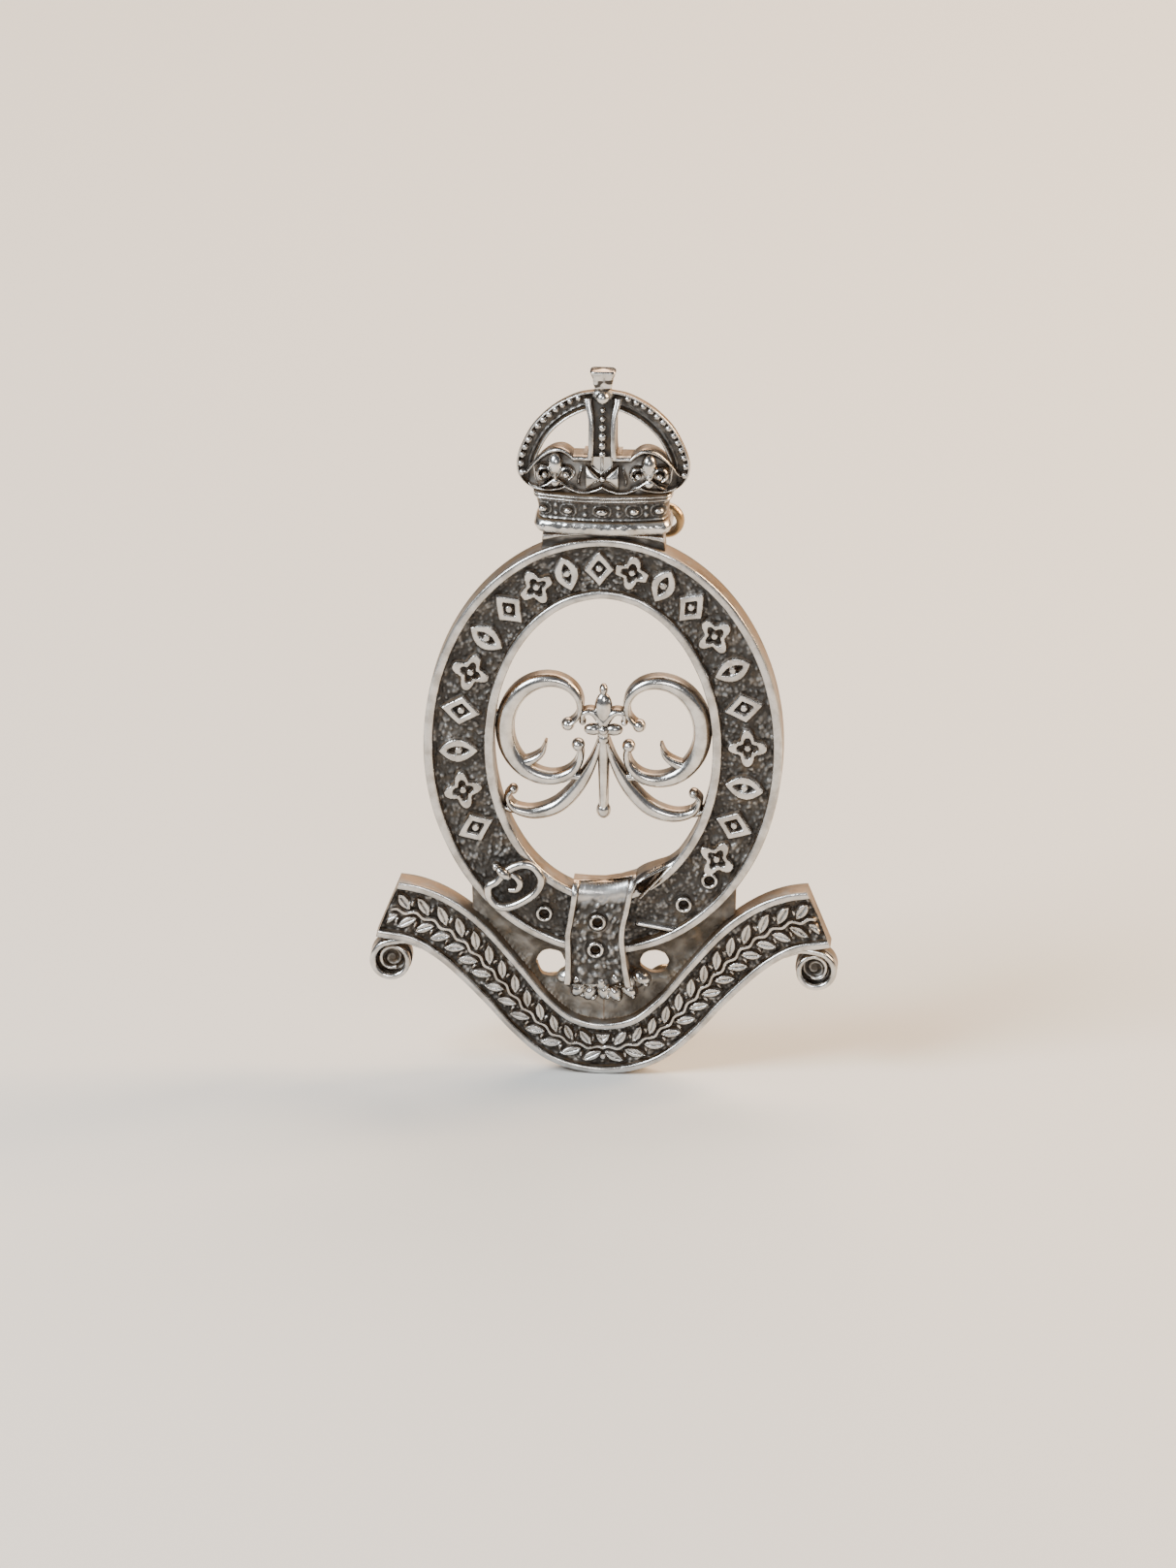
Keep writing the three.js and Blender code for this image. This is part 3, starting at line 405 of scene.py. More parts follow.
def metalLook(name, slot, bare, dull, deep, crust, rub, smooth, rough, depth, wallShade=0.85):
    # bare, dull, deep and crust are colours; smooth and rough the roughness of rubbed and packed metal;
    # rub adds to how bare it is, depth scales the marks, the last argument the painted brown shade on the
    # side walls
    look = bpy.data.materials.new(name)
    look.use_nodes = True
    look["slot"] = slot
    tree = look.node_tree
    shader = tree.nodes["Principled BSDF"]
    coords = addNode(tree, "ShaderNodeTexCoord").outputs["Object"]
    tone = addNode(tree, "ShaderNodeAttribute", attribute_name="tone").outputs["Fac"]
    marks = addNode(tree, "ShaderNodeGroup", node_tree=grain)
    marks.inputs["Depth"].default_value = depth
    tree.links.new(coords, marks.inputs["Vector"])
    age = addNode(tree, "ShaderNodeGroup", node_tree=tarnish)
    age.inputs["Rub"].default_value = rub
    for socket, source in (("Tone", tone), ("Cloud", marks.outputs["Cloud"]), ("Vector", coords)):
        tree.links.new(source, age.inputs[socket])
    bareMask = age.outputs["Bare"]
    shine = mixColour(tree, rampNode(tree, age.outputs["Blotch"], 0.35, 0.7), bare, dull)
    dirty = mixColour(tree, age.outputs["Crust"], deep, crust)
    metal = mixColour(tree, bareMask, dirty, shine)
    wall = addNode(tree, "ShaderNodeAttribute", attribute_name="paintedWallShade").outputs["Fac"]
    # painted shade: side walls mixed toward the dark brown, in blotches
    wallShadeAmount = times(tree, wall, rampNode(tree, age.outputs["Blotch"], 0.2, 0.6))
    wallShadeAmount = times(tree, wallShadeAmount, wallShade)
    tree.links.new(mixColour(tree, wallShadeAmount, metal, wallShadeTint), shader.inputs["Base Color"])
    roughness = times(tree, minus(tree, 1.0, bareMask), rough - smooth)
    cloudRough = times(tree, marks.outputs["Cloud"], 0.16)
    tree.links.new(plus(tree, plus(tree, roughness, cloudRough), smooth - 0.06), shader.inputs["Roughness"])
    tree.links.new(plus(tree, times(tree, bareMask, 0.45), 0.55), shader.inputs["Metallic"])
    bump = addNode(tree, "ShaderNodeBump")
    bump.inputs["Strength"].default_value = 0.35
    bump.inputs["Distance"].default_value = 0.00004
    tree.links.new(marks.outputs["Height"], bump.inputs["Height"])
    tree.links.new(bump.outputs["Normal"], shader.inputs["Normal"])
    return look


struckSilver = metalLook("struckSilver", "aged_silver_dark", bare=(0.60, 0.595, 0.585),
                         dull=(0.36, 0.35, 0.335), deep=(0.042, 0.038, 0.034),
                         crust=(0.085, 0.068, 0.050), rub=-0.06, smooth=0.24, rough=0.55, depth=1.0)
rubbedSilver = metalLook("rubbedSilver", "aged_silver", bare=(0.66, 0.655, 0.64), dull=(0.42, 0.41, 0.39),
                         deep=(0.050, 0.042, 0.034), crust=(0.11, 0.080, 0.05), rub=0.02, smooth=0.18,
                         rough=0.5, depth=0.8)
webSilver = metalLook("webSilver", "aged_silver_dark", bare=(0.42, 0.41, 0.39), dull=(0.28, 0.26, 0.23),
                      deep=(0.075, 0.062, 0.046), crust=(0.14, 0.10, 0.06), rub=0.0, smooth=0.3,
                      rough=0.6, depth=1.0)
pinBrass = metalLook("pinBrass", "pin_brass", bare=(0.44, 0.31, 0.17), dull=(0.27, 0.185, 0.10),
                     deep=(0.11, 0.07, 0.03), crust=(0.16, 0.11, 0.05), rub=0.05, smooth=0.28,
                     rough=0.6, depth=1.0, wallShade=0.0)
print("finishes ready")

# ---- strap: a rimmed oval band with a pebbled field and raised motifs
strap = {"halfWide": 12.2, "halfHigh": 15.0, "band": 4.75, "endBand": 4.3, "field": 1.5, "rim": 2.0,
         "outerRim": 0.62, "innerRim": 0.62, "stations": 980, "pebble": 0.33, "pebbleTall": 0.13,
         "motifs": 20, "firstMotif": -118, "lastMotif": 128, "motifTall": 0.42}
buckleSpot = (-5.98, -10.02)
doubled = {"spot": (2.2, -12.75), "direction": (3.6, -0.62), "length": 3.65, "half": 0.36}
foldGap = {"spot": (3.2, -9.6), "direction": (0.72, 0.69)}
eyelets = {"strap": [(-4.0, -12.2), (5.5, -11.3), (7.25, -9.5)], "tab": [(-0.3, -12.4), (-0.45, -14.4)],
           "outer": 0.62, "inner": 0.3, "rise": 0.42}


def ellipsePoint(t, inset):
    # inset 0 is the outer edge, inset equal to the band's width is the edge of the opening
    high = strap["halfHigh"] - inset * strap["endBand"] / strap["band"]
    return np.stack([(strap["halfWide"] - inset) * np.sin(t), high * np.cos(t)], -1)


def rimmedSection(width, leftRim, rightRim, field, rim, fieldCount, back=0.0):
    # closed outline of a ribbon: flat back, upright sides, rounded rims and a sunk field between them
    def rimTop(start, span):
        t = np.linspace(0, pi, 9)
        return np.stack([start + span * (0.5 - 0.5 * np.cos(t)), rim - 0.17 + 0.17 * np.sin(t) ** 0.75], -1)
    wall = lambda w, low, high, n: np.stack([np.full(n, w), np.linspace(low, high, n)], -1)
    floorLine = np.stack([np.linspace(width - rightRim - 0.07, leftRim + 0.07, fieldCount),
                          np.full(fieldCount, field)], -1)
    before = np.concatenate([
        np.stack([np.linspace(0, width, 5), np.full(5, back)], -1), wall(width, back + 0.3, rim - 0.3, 4),
        rimTop(width - rightRim, rightRim)[::-1], wall(width - rightRim - 0.03, rim - 0.28, field + 0.12, 3)])
    after = np.concatenate([wall(leftRim + 0.03, field + 0.12, rim - 0.28, 3), rimTop(0, leftRim)[::-1],
                            wall(0, rim - 0.3, back + 0.3, 4)])
    line = np.concatenate([before, floorLine, after])
    fieldMask = np.concatenate([np.zeros(len(before)), np.ones(fieldCount), np.zeros(len(after))])
    return line[:, 0], line[:, 1], fieldMask


def ribbonTone(w, h, width, field, rim, fieldMask, texture):
    # rims bright on top, walls painted darker toward the back as shade, field dark with its bumps catching
    # light
    front = smoothStep(field, rim - 0.03, h)
    edge = np.minimum(w, width - w) < 0.02
    wall = 0.30 + 0.22 * smoothStep(0.0, rim, h)
    return np.where(edge, wall, np.where(fieldMask > 0, texture, 0.12 + 0.88 * front))


def nearSpots(x, z, spots, outer, inner):
    # 1 within the inner distance of any spot, 0 beyond the outer one
    return sum(smoothStep(outer, inner, np.hypot(x - a, z - b)) for a, b in spots)


def strapMotif(ds, du, kind):
    # outlines with flat tops: a lozenge, a four-lobed flower and a pointed leaf, each round a pellet
    lozenge = 1.35 - np.abs(np.abs(ds) / 1.02 + np.abs(du) / 1.36 - 0.76) / 0.27
    reach = np.hypot(ds, du) / (0.95 + 0.27 * np.cos(4 * np.arctan2(ds, du)))
    flower = 1.35 - np.abs(reach - 0.85) / 0.27
    leaf = 1.3 - np.abs(np.abs(ds) / 0.74 + (np.abs(du) / 1.3) ** 2 - 0.74) / 0.4
    pellet = 1.5 - np.hypot(ds, du) / 0.22
    outline = np.select([kind == 0, kind == 1], [lozenge, flower], leaf)
    return smoothStep(0.0, 0.6, np.maximum(outline, pellet))


def stippled(u, v, size, seed):
    # packed pebbles with a finer unevenness over them
    return pebbles(u, v, size, seed) + 0.5 * softNoise(u * 3, v * 3, seed + 1)


def darkMoat(relief):
    # a darker line in the field close round raised work
    return 0.2 * smoothStep(0.0, 0.5, blur(relief, 3)) * (1 - relief)


def turnedAxes(x, z, spot, direction, length=1.0):
    # distances from a spot, along a direction and across it, over the direction's own length
    dx, dz = x - spot[0], z - spot[1]
    a, b = direction
    return (dx * a + dz * b) / length, (dz * a - dx * b) / length


def strapShape():
    fine = np.linspace(0, 2 * pi, 4001) + pi
    run = lengthAlong(ellipsePoint(fine, strap["band"] / 2))
    s = np.linspace(0, run[-1], strap["stations"], endpoint=False)
    t = np.interp(s, run, fine)
    inner, outer = ellipsePoint(t, strap["band"]), ellipsePoint(t, 0)
    flat = lambda p: np.stack([p[:, 0], np.zeros(len(p)), p[:, 1]], -1)
    across = flat(outer - inner) / strap["band"]
    w, h, mask = rimmedSection(strap["band"], strap["innerRim"], strap["outerRim"], strap["field"],
                               strap["rim"], 60)
    w, h = atEach(len(s), w, h)
    sGrid = np.broadcast_to(s[:, None], w.shape)
    points = flat(inner)[:, None, :] + w[..., None] * across[:, None, :]
    x, z = points[..., 0], points[..., 2]
    # motifs stand at equal steps of angle; each point looks at its nearest one
    first, last = np.radians([strap["firstMotif"] + 180, strap["lastMotif"] + 180])
    step = (last - first) / (strap["motifs"] - 1)
    place = np.clip(np.round((t - pi - first) / step), 0, strap["motifs"] - 1)
    ds = (np.interp(pi + first + place * step, fine, run) - s)[:, None]
    fieldMid = (strap["innerRim"] + strap["band"] - strap["outerRim"]) / 2
    kind = np.broadcast_to((place % 3)[:, None], w.shape)
    relief = strapMotif(np.broadcast_to(ds, w.shape), w - fieldMid, kind)
    stipple = stippled(sGrid, w, strap["pebble"], 3)
    # the strap's doubled lower edge beside the hanging end, a straight ridge with a step below it
    along, off = turnedAxes(x, z, doubled["spot"], doubled["direction"], doubled["length"])
    near = smoothStep(-0.4, 0.2, along) * smoothStep(4.0, 3.6, along)
    ridge = near * np.sqrt(np.clip(1 - (off / doubled["half"]) ** 2, 0, 1))
    below = near * smoothStep(0.0, -0.15, off)
    # the gap left where the free end folds through beside the opening
    gapLong, gapWide = turnedAxes(x, z, foldGap["spot"], foldGap["direction"])
    gapMask = smoothStep(1.0, 0.7, np.sqrt((gapLong / 1.15) ** 2 + (gapWide / (0.42 + 0.12 * gapLong)) ** 2))
    holes = nearSpots(x, z, eyelets["strap"], 0.32, 0.22)
    stipple = stipple * (1 - nearSpots(x, z, eyelets["strap"], 0.85, 0.65))
    stipple = stipple * (1 - smoothStep(0.0, 0.4, ridge))
    # painted shadow of the buckle: the strap is darker round it
    shade = nearSpots(x, z, [buckleSpot], 2.6, 1.6)
    lift = (strap["pebbleTall"] * stipple * (1 - relief) + strap["motifTall"] * relief
            + 0.5 * ridge - 0.3 * below - 0.35 * holes)
    h = h + mask * lift + (1 - mask) * (h > strap["field"]) * 0.035 * softNoise(sGrid * 0.9, w * 0.7, 6)
    h = np.minimum(h, strap["rim"])
    h = np.where(h > 1.0, h - gapMask * (h - 0.9), h)
    w = w + (h > 0.4) * 0.03 * softNoise(sGrid * 0.5, w * 0 + 0.5, 8)
    texture = np.clip(0.14 + 0.3 * stipple * (1 - relief) + 0.9 * relief - darkMoat(relief) + 0.95 * ridge
                      - 0.2 * holes - 0.14 * shade, 0, 1)
    tone = ribbonTone(w, h, strap["band"], strap["field"], strap["rim"], mask, texture)
    # painted shade: the gap where the free end folds through is painted nearly dark
    tone = tone * (1 - 0.85 * gapMask)
    return carried(flat(inner), across, np.tile([0.0, -1.0, 0.0], (len(s), 1)), w, h, tone, True)


makePiece("strapBelt", strapShape(), struckSilver, ["strap_belt"])
print("strap done")

# ---- banner: the same kind of rimmed ribbon along a drooping curve, with a row of laurel
banner = {"knots": [(0, -21.95), (2.75, -21.35), (4.95, -19.6), (7.0, -17.2), (9.3, -14.7),
                    (11.1, -13.3), (12.8, -12.5), (14.7, -12.17)],
          "width": 3.65, "widen": 0.16, "slant": 0.22, "rimWide": 0.46, "field": 1.35, "rim": 1.9,
          "stations": 640, "leafPitch": 1.34, "pebble": 0.32}
bannerKnots = [(-x, z) for x, z in banner["knots"][:0:-1]] + banner["knots"]


def bannerSpread(run):
    # the ribbon grows wider toward both ends
    return 1 + banner["widen"] * smoothStep(6, 15, np.abs(run))


def bannerShape():
    line, s = spread(bannerKnots, banner["stations"])
    centre, across, up = flatFrame(line)
    width, half = banner["width"], s[-1] / 2
    fromMiddle = s - half
    across = across * bannerSpread(fromMiddle)[:, None]
    end = smoothStep(half - 3, half, np.abs(fromMiddle)) * np.sign(fromMiddle)
    along = np.stack([across[:, 2], 0 * s, -across[:, 0]], -1)
    across = across - banner["slant"] * end[:, None] * along
    w, h, mask = rimmedSection(width, banner["rimWide"], banner["rimWide"], banner["field"],
                               banner["rim"], 54)
    w, h = atEach(len(s), w, h)
    sGrid = np.broadcast_to(fromMiddle[:, None], w.shape)
    v = w - width / 2
    # laurel: a fine stem, slanting leaves in pairs pointing to both ends, a berry at each leaf's root
    pitch = banner["leafPitch"]
    run = np.abs(sGrid)
    side = np.sign(v) + (v == 0)
    shift = np.where(side > 0, 0.0, 0.5)
    index = np.round(run / pitch - shift)
    alongLeaf = run - (index + shift) * pitch
    off = v - side * 0.62
    lean = np.radians(36)
    a = alongLeaf * np.cos(lean) + side * off * np.sin(lean)
    b = -alongLeaf * np.sin(lean) + side * off * np.cos(lean)
    leaf = 1.3 * (1 - (a / 0.82) ** 2) - np.abs(b) / 0.3
    vein = np.clip(1 - np.abs(b) / 0.06, 0, 1) * smoothStep(0.6, 0.4, np.abs(a))
    stem = 1.1 - np.abs(v - 0.1 * np.sin(2 * pi * run / pitch)) / 0.14
    berry = 1.4 - np.hypot(alongLeaf + 0.72, off) / 0.2
    relief = smoothStep(0.0, 0.45, np.maximum(np.maximum(stem, leaf), berry))
    relief = relief * smoothStep(0.1, 0.3, half - run)
    stipple = stippled(sGrid, w, banner["pebble"], 13)
    h = h + mask * (0.12 * stipple * (1 - relief) + 0.42 * relief - 0.14 * vein * relief)
    h = h + (1 - mask) * (h > banner["field"]) * 0.03 * softNoise(sGrid * 0.8, w * 0.7, 16)
    h = np.minimum(h, banner["rim"])
    texture = np.clip(0.12 + 0.42 * stipple * (1 - relief) + 0.9 * relief - 0.4 * vein * relief
                      - darkMoat(relief), 0, 1)
    tone = ribbonTone(w, h, width, banner["field"], banner["rim"], mask, texture)
    return carried(centre, across, up, v, h, tone)


makePiece("bannerRibbon", bannerShape(), struckSilver, ["banner_ribbon"])
print("banner done")

# ---- rolled banner ends: a band wound inward, edge on, over a sunk floor
curl = {"centre": (14.42, -15.95), "radius": 1.33, "thick": 0.42, "turns": 1.55, "pitch": 0.62, "height": 1.8}


def roundedBand(half, back, top):
    # section with a flat back and a rounded front: (w, h) outline
    t = np.linspace(0, pi, 9)
    crown = np.stack([half * np.cos(t), top - half * 0.8 + half * 0.8 * np.sin(t)], -1)
    line = np.concatenate([[(-half, back), (0, back), (half, back), (half, (back + top) / 2)], crown,
                           [(-half, (back + top) / 2)]])
    return line[:, 0], line[:, 1]


def curlShape(side):
    # the lower edge of the banner runs on into a spiral whose radius shrinks after a quarter turn
    turns = np.linspace(0, curl["turns"], 140)
    angle = np.radians(86) - 2 * pi * turns
    radius = curl["radius"] - curl["pitch"] * np.clip(turns - 0.25, 0, None) * (1 - 0.1 * turns)
    line = np.stack([side * (curl["centre"][0] + radius * np.cos(angle)),
                     curl["centre"][1] + radius * np.sin(angle)], -1)
    lead = np.array([(side * 12.4, -14.85), (side * 13.2, -14.55), (side * 13.85, -14.5)])
    line, s = spread(np.concatenate([lead, line[4::5]]), 200)
    centre, across, up = flatFrame(line)
    w, h = atEach(len(s), *roundedBand(curl["thick"] / 2, 0.05, curl["height"]))
    drop = smoothStep(0.45, 1.0, s / s[-1])[:, None]
    h = np.where(h > 0.9, h - 0.45 * drop, h)
    w = w * (1 - 0.35 * drop)
    tone = (0.3 + 0.7 * smoothStep(curl["height"] - 0.95, curl["height"] - 0.3, h)) * (1 - 0.35 * drop)
    band = carried(centre, across, up, w, h, tone)
    rho, phi = np.meshgrid(np.linspace(0, 1, 26), np.linspace(0, 2 * pi, 72), indexing="ij")
    groove = np.sin(2 * pi * (rho * 3.1 + phi / (2 * pi) * side)) * smoothStep(0.05, 0.3, rho)
    x = side * curl["centre"][0] + curl["radius"] * rho * np.cos(phi)
    z = curl["centre"][1] + curl["radius"] * rho * np.sin(phi)
    floor = slab(x, z, 1.05 + 0.09 * groove - 0.15 * rho, 0.2 + 0.22 * groove, 0.0, 0.3)
    return joined([band, floor])


makePair("bannerCurl", "banner_curl_", curlShape, rubbedSilver)
print("curls done")

# ---- web: the sunk plate joining strap and banner, one hole each side of the hanging end
web = {"height": 1.0, "holes": [(-3.6, -16.25, 0.98, 0.98), (3.45, -15.95, 1.02, 0.82)], "reach": 9.0}


def flipped(line, side):
    return line * np.array([side, 1.0])


def nearest(x, z, line):
    # distance from every point of the grid to the closest point of a line
    gaps = (x[..., None] - line[:, 0]) ** 2 + (z[..., None] - line[:, 1]) ** 2
    return np.sqrt(gaps.min(-1))


def webHalf(side, hole):
    # rays from the hole's lip to the half's outline, over a dished floor rising to strap and banner
    cx, cz, a, b = hole
    top = ellipsePoint(pi - np.arcsin(np.linspace(0, web["reach"] / strap["halfWide"], 60)), -0.02)
    mid, run = spread(bannerKnots, 401)
    _, across, _ = flatFrame(mid)
    edge = mid + across[:, [0, 2]] * ((banner["width"] / 2 + 0.02) * bannerSpread(run - run[-1] / 2)[:, None])
    low = edge[(edge[:, 0] >= -0.02) & (edge[:, 0] <= web["reach"])]
    loop = np.concatenate([np.stack([np.abs(top[:, 0]), top[:, 1]], -1), low[::-1]])
    loop[:, 0] *= side
    closedLoop = np.concatenate([loop, loop[:1]])
    roundLoop = lengthAlong(closedLoop)
    count = 420
    even = np.linspace(0, roundLoop[-1], count, endpoint=False)
    outer = np.stack([np.interp(even, roundLoop, closedLoop[:, k]) for k in (0, 1)], -1)
    phi = np.arctan2((outer[:, 1] - cz) / b, (outer[:, 0] - cx) / a)
    ragged = 1 + 0.07 * softNoise(phi * 2.2, phi * 0 + side, 22)
    inner = np.stack([cx + a * ragged * np.cos(phi), cz + b * ragged * np.sin(phi)], -1)
    r = np.concatenate([[0, 0.0, 0.0, 0.02, 0.05, 0.09], np.linspace(0.14, 1, 30)])
    grid = inner[:, None, :] + (outer - inner)[:, None, :] * r[None, :, None]
    x, z = grid[..., 0], grid[..., 1]
    away = nearest(x, z, np.concatenate([edge[::4], top[::3], flipped(top, -1)[::3]]))
    lip = smoothStep(0.5, 0.0, np.linalg.norm(outer - inner, axis=1)[:, None] * r)
    rough = softNoise(x * 1.7, z * 1.7, 21)
    h = web["height"] - 0.3 + 0.3 * np.exp(-away / 0.3) - 0.18 * lip + 0.07 * rough \
        + 0.03 * softNoise(x * 6, z * 6, 23)
    h[:, 0], h[:, 1] = 0.0, 0.4
    # painted shade: the floor darker toward each hole's lip, and the hole's inside wall painted near black
    tone = 0.3 + 0.16 * smoothStep(0.2, 1.3, away) - 0.2 * lip + 0.1 * rough
    tone[:, :3] = 0.05
    x, z = np.concatenate([x, outer[:, :1]], 1), np.concatenate([z, outer[:, 1:]], 1)
    h = np.concatenate([h, np.zeros((count, 1))], 1)
    tone = np.concatenate([tone, np.full((count, 1), 0.4)], 1)
    points = np.stack([x, -h, z], -1)
    return outward((points.reshape(-1, 3), gridQuads(count, x.shape[1], True, True), noTris,
                    tone.reshape(-1)))


makePiece("strapWeb", joined([webHalf(-1, web["holes"][0]), webHalf(1, web["holes"][1])]), webSilver,
          ["strap_web"])
print("web done")

# ---- the strap's free end: hangs over the band, rolled back at the top
tab = {"knots": [(0.12, -9.75), (0.0, -10.6), (-0.25, -11.9), (-0.5, -13.4), (-0.42, -15.2), (-0.3, -17.0)],
       "halfWide": [(0.0, 2.16), (0.25, 2.1), (0.55, 2.02), (0.8, 2.12), (1.0, 2.3)], "back": 2.02,
       "field": 2.4, "rim": 2.78, "rimWide": 0.4, "stations": 170, "bend": 1.0, "section": 4.1}


def tabShape():
    # the rimmed ribbon again, its top edge rolled down and back, following the curve of the opening
    line, s = spread(tab["knots"], tab["stations"])
    centre, across, up = flatFrame(line)
    across = np.stack([np.abs(across[:, 0]), 0 * s, across[:, 2] * -0.3], -1)
    half = np.interp(s / s[-1], *zip(*tab["halfWide"]))[:, None]
    w, h, mask = rimmedSection(tab["section"], tab["rimWide"], tab["rimWide"], tab["field"], tab["rim"],
                               66, tab["back"])
    w, h, isBack = atEach(len(s), w, h, h < tab["back"] + 0.2)
    v = (w - tab["section"] / 2) / (tab["section"] / 2)
    sGrid = np.broadcast_to(s[:, None], w.shape)
    x, z = centre[:, 0][:, None] + v * half, centre[:, 2][:, None] + 0 * v
    stipple = pebbles(sGrid * 0.8, v * 2, 0.36, 31) + 0.6 * softNoise(sGrid * 3, v * 6, 32)
    rough = smoothStep(0.7, 1.7, sGrid + 0.3 * softNoise(sGrid * 2, v * 4, 33))
    holes = nearSpots(x, z, eyelets["tab"], 0.3, 0.2)
    stipple = stipple * (1 - nearSpots(x, z, eyelets["tab"], 0.8, 0.65))
    roll = 1 - np.sqrt(np.clip(1 - (1 - np.clip(sGrid / tab["bend"], 0, 1)) ** 2, 0, 1))
    lowBack = np.where(sGrid > s[-1] - 1.9, 0.95, tab["back"] - 1.5 * roll)
    top = h + mask * (0.15 * stipple * rough - 0.35 * holes) - 0.95 * roll
    h = np.where(isBack, lowBack, top)
    texture = np.clip(0.16 + 0.34 * stipple - 0.25 * holes, 0, 1) * rough + 0.75 * (1 - rough)
    tone = ribbonTone(w, np.clip(h + 0.95 * roll, 0, tab["rim"]), tab["section"], tab["field"], tab["rim"],
                      mask, texture)
    rising = (0.16 * v ** 2 + 0.3 * np.clip(v, 0, 1) ** 1.5) * np.exp(-(sGrid / 1.1) ** 2)
    points, quads, tris, tone = carried(centre, across, up, v * half, h, tone)
    points[:rising.size, 2] += rising.reshape(-1)
    return points, quads, tris, tone


makePiece("strapEndTab", tabShape(), struckSilver, ["strap_end_tab"])


def eyeletShape(spot, base):
    # a rounded ring: a small closed outline turned about the front direction
    phi = np.linspace(0, 2 * pi, 36, endpoint=False)[:, None]
    k = np.linspace(0, 2 * pi, 14, endpoint=False)[None, :]
    mid, half = (eyelets["outer"] + eyelets["inner"]) / 2, (eyelets["outer"] - eyelets["inner"]) / 2
    r = mid + half * np.cos(k)
    h = base + 0.08 + (eyelets["rise"] - 0.08) * np.sin(k)
    points = np.stack([spot[0] + r * np.cos(phi), -h * np.ones_like(phi), spot[1] + r * np.sin(phi)], -1)
    tone = np.broadcast_to(0.4 + 0.6 * smoothStep(-0.2, 0.5, np.sin(k)), (36, 14))
    return outward((points.reshape(-1, 3), gridQuads(36, 14, True, True), noTris, tone.reshape(-1)))


for word, base in (("strap", strap["field"]), ("tab", tab["field"])):
    for k, spot in enumerate(eyelets[word]):
        makePiece(f"eyelet{word.title()}{k + 1}", eyeletShape(spot, base), rubbedSilver,
                  [f"eyelet_{word}_{k + 1}"])

fold = {"upper": [(2.05, -10.2), (2.3, -9.55), (2.85, -9.12), (3.6, -8.82), (4.5, -8.45), (5.3, -7.7)],
        "lower": [(2.55, -10.75), (3.2, -10.05), (3.9, -9.3), (4.7, -8.45)]}


def cord(line, wide, tall, back, bright=1.0):
    # a raised strip along a path in (x, z); width and height may vary along it
    centre, across, up = flatFrame(line)
    w, h = roundedBand(0.5, 0, 1)
    wide, tall = perPoint(wide, line), perPoint(tall, line)
    h = back + h[None, :] * (tall - back)
    tone = 0.3 + (bright - 0.3) * smoothStep(0.55, 0.95, (h - back) / (tall - back))
    return carried(centre, across, up, w[None, :] * wide, h, tone)


foldLine, foldRun = spread(fold["upper"], 60)
foldLow, lowRun = spread(fold["lower"], 60)
foldShare = foldRun / foldRun[-1]
foldWide = 0.44 - 0.2 * smoothStep(0.6, 1, foldShare)
foldTall = 2.75 - 0.85 * smoothStep(0.25, 0.8, foldShare)
makePiece("strapFold", joined([cord(foldLine, foldWide, foldTall, 0.3),
                               cord(foldLow, 0.38, 2.25 - 0.2 * lowRun / 3, 0.6)]),
          rubbedSilver, ["strap_fold"])

# ---- leafy fringe at the foot of the hanging end
foliage = {"rows": 2, "lumps": 7, "pitch": 0.86, "lobe": (0.52, 0.78, 0.74), "smallLobe": (0.24, 0.6, 0.34)}


def foliageShape():
    # two rows of ragged leaf lobes fanning out below the hanging end, each with a smaller lobe beside it
    parts = []
    for row in range(foliage["rows"]):
        count = foliage["lumps"] - 2 * row
        for k in range(count):
            f = k - (count - 1) / 2
            x = f * foliage["pitch"] + 0.06 * (-1) ** k
            z = -16.75 - 0.95 * row + 0.05 * abs(f) - 0.16 * (k % 2)
            parts.append(blob((x, 1.72 - 0.25 * row, z), foliage["lobe"], np.radians(-20 * f), 14, 20,
                              1.25, (0.08, 0.72)))
            parts.append(blob((x + 0.3, 1.8 - 0.25 * row, z - 0.38), foliage["smallLobe"],
                              np.radians(30 - 20 * f), 8, 14, 1.2, (0.1, 0.8)))
    bed = blob((0.0, 1.0, -17.05), (2.95, 0.75, 1.2), 0, 14, 40, 0.6, (0.05, 0.25))
    return joined(parts + [bed])


makePiece("tabFoliage", foliageShape(), rubbedSilver, ["tab_foliage"])
print("hanging end done")

# ---- buckle: a rounded wire frame and a hooked tongue with a knob
buckle = {"centre": buckleSpot, "halfLong": 2.2, "halfWide": 1.53, "wire": 0.28, "turn": 32, "height": 2.35}


def roundRod(line, radius, height, rows=14, closed=False):
    # a round-section rod; radius and height may vary along it
    centre, across, up = flatFrame(line)
    k = np.linspace(0, 2 * pi, rows, endpoint=False)[None, :]
    radius, height = perPoint(radius, line), perPoint(height, line)
    tone = np.broadcast_to(0.15 + 0.85 * smoothStep(-0.1, 0.7, np.sin(k)), (len(line), rows))
    if closed:
        centre, across, up = (part[1:-1] for part in (centre, across, up))
        radius, height, tone = radius[1:-1], height[1:-1], tone[1:-1]
    return carried(centre, across, up, radius * np.cos(k), height + radius * np.sin(k), tone, closed)


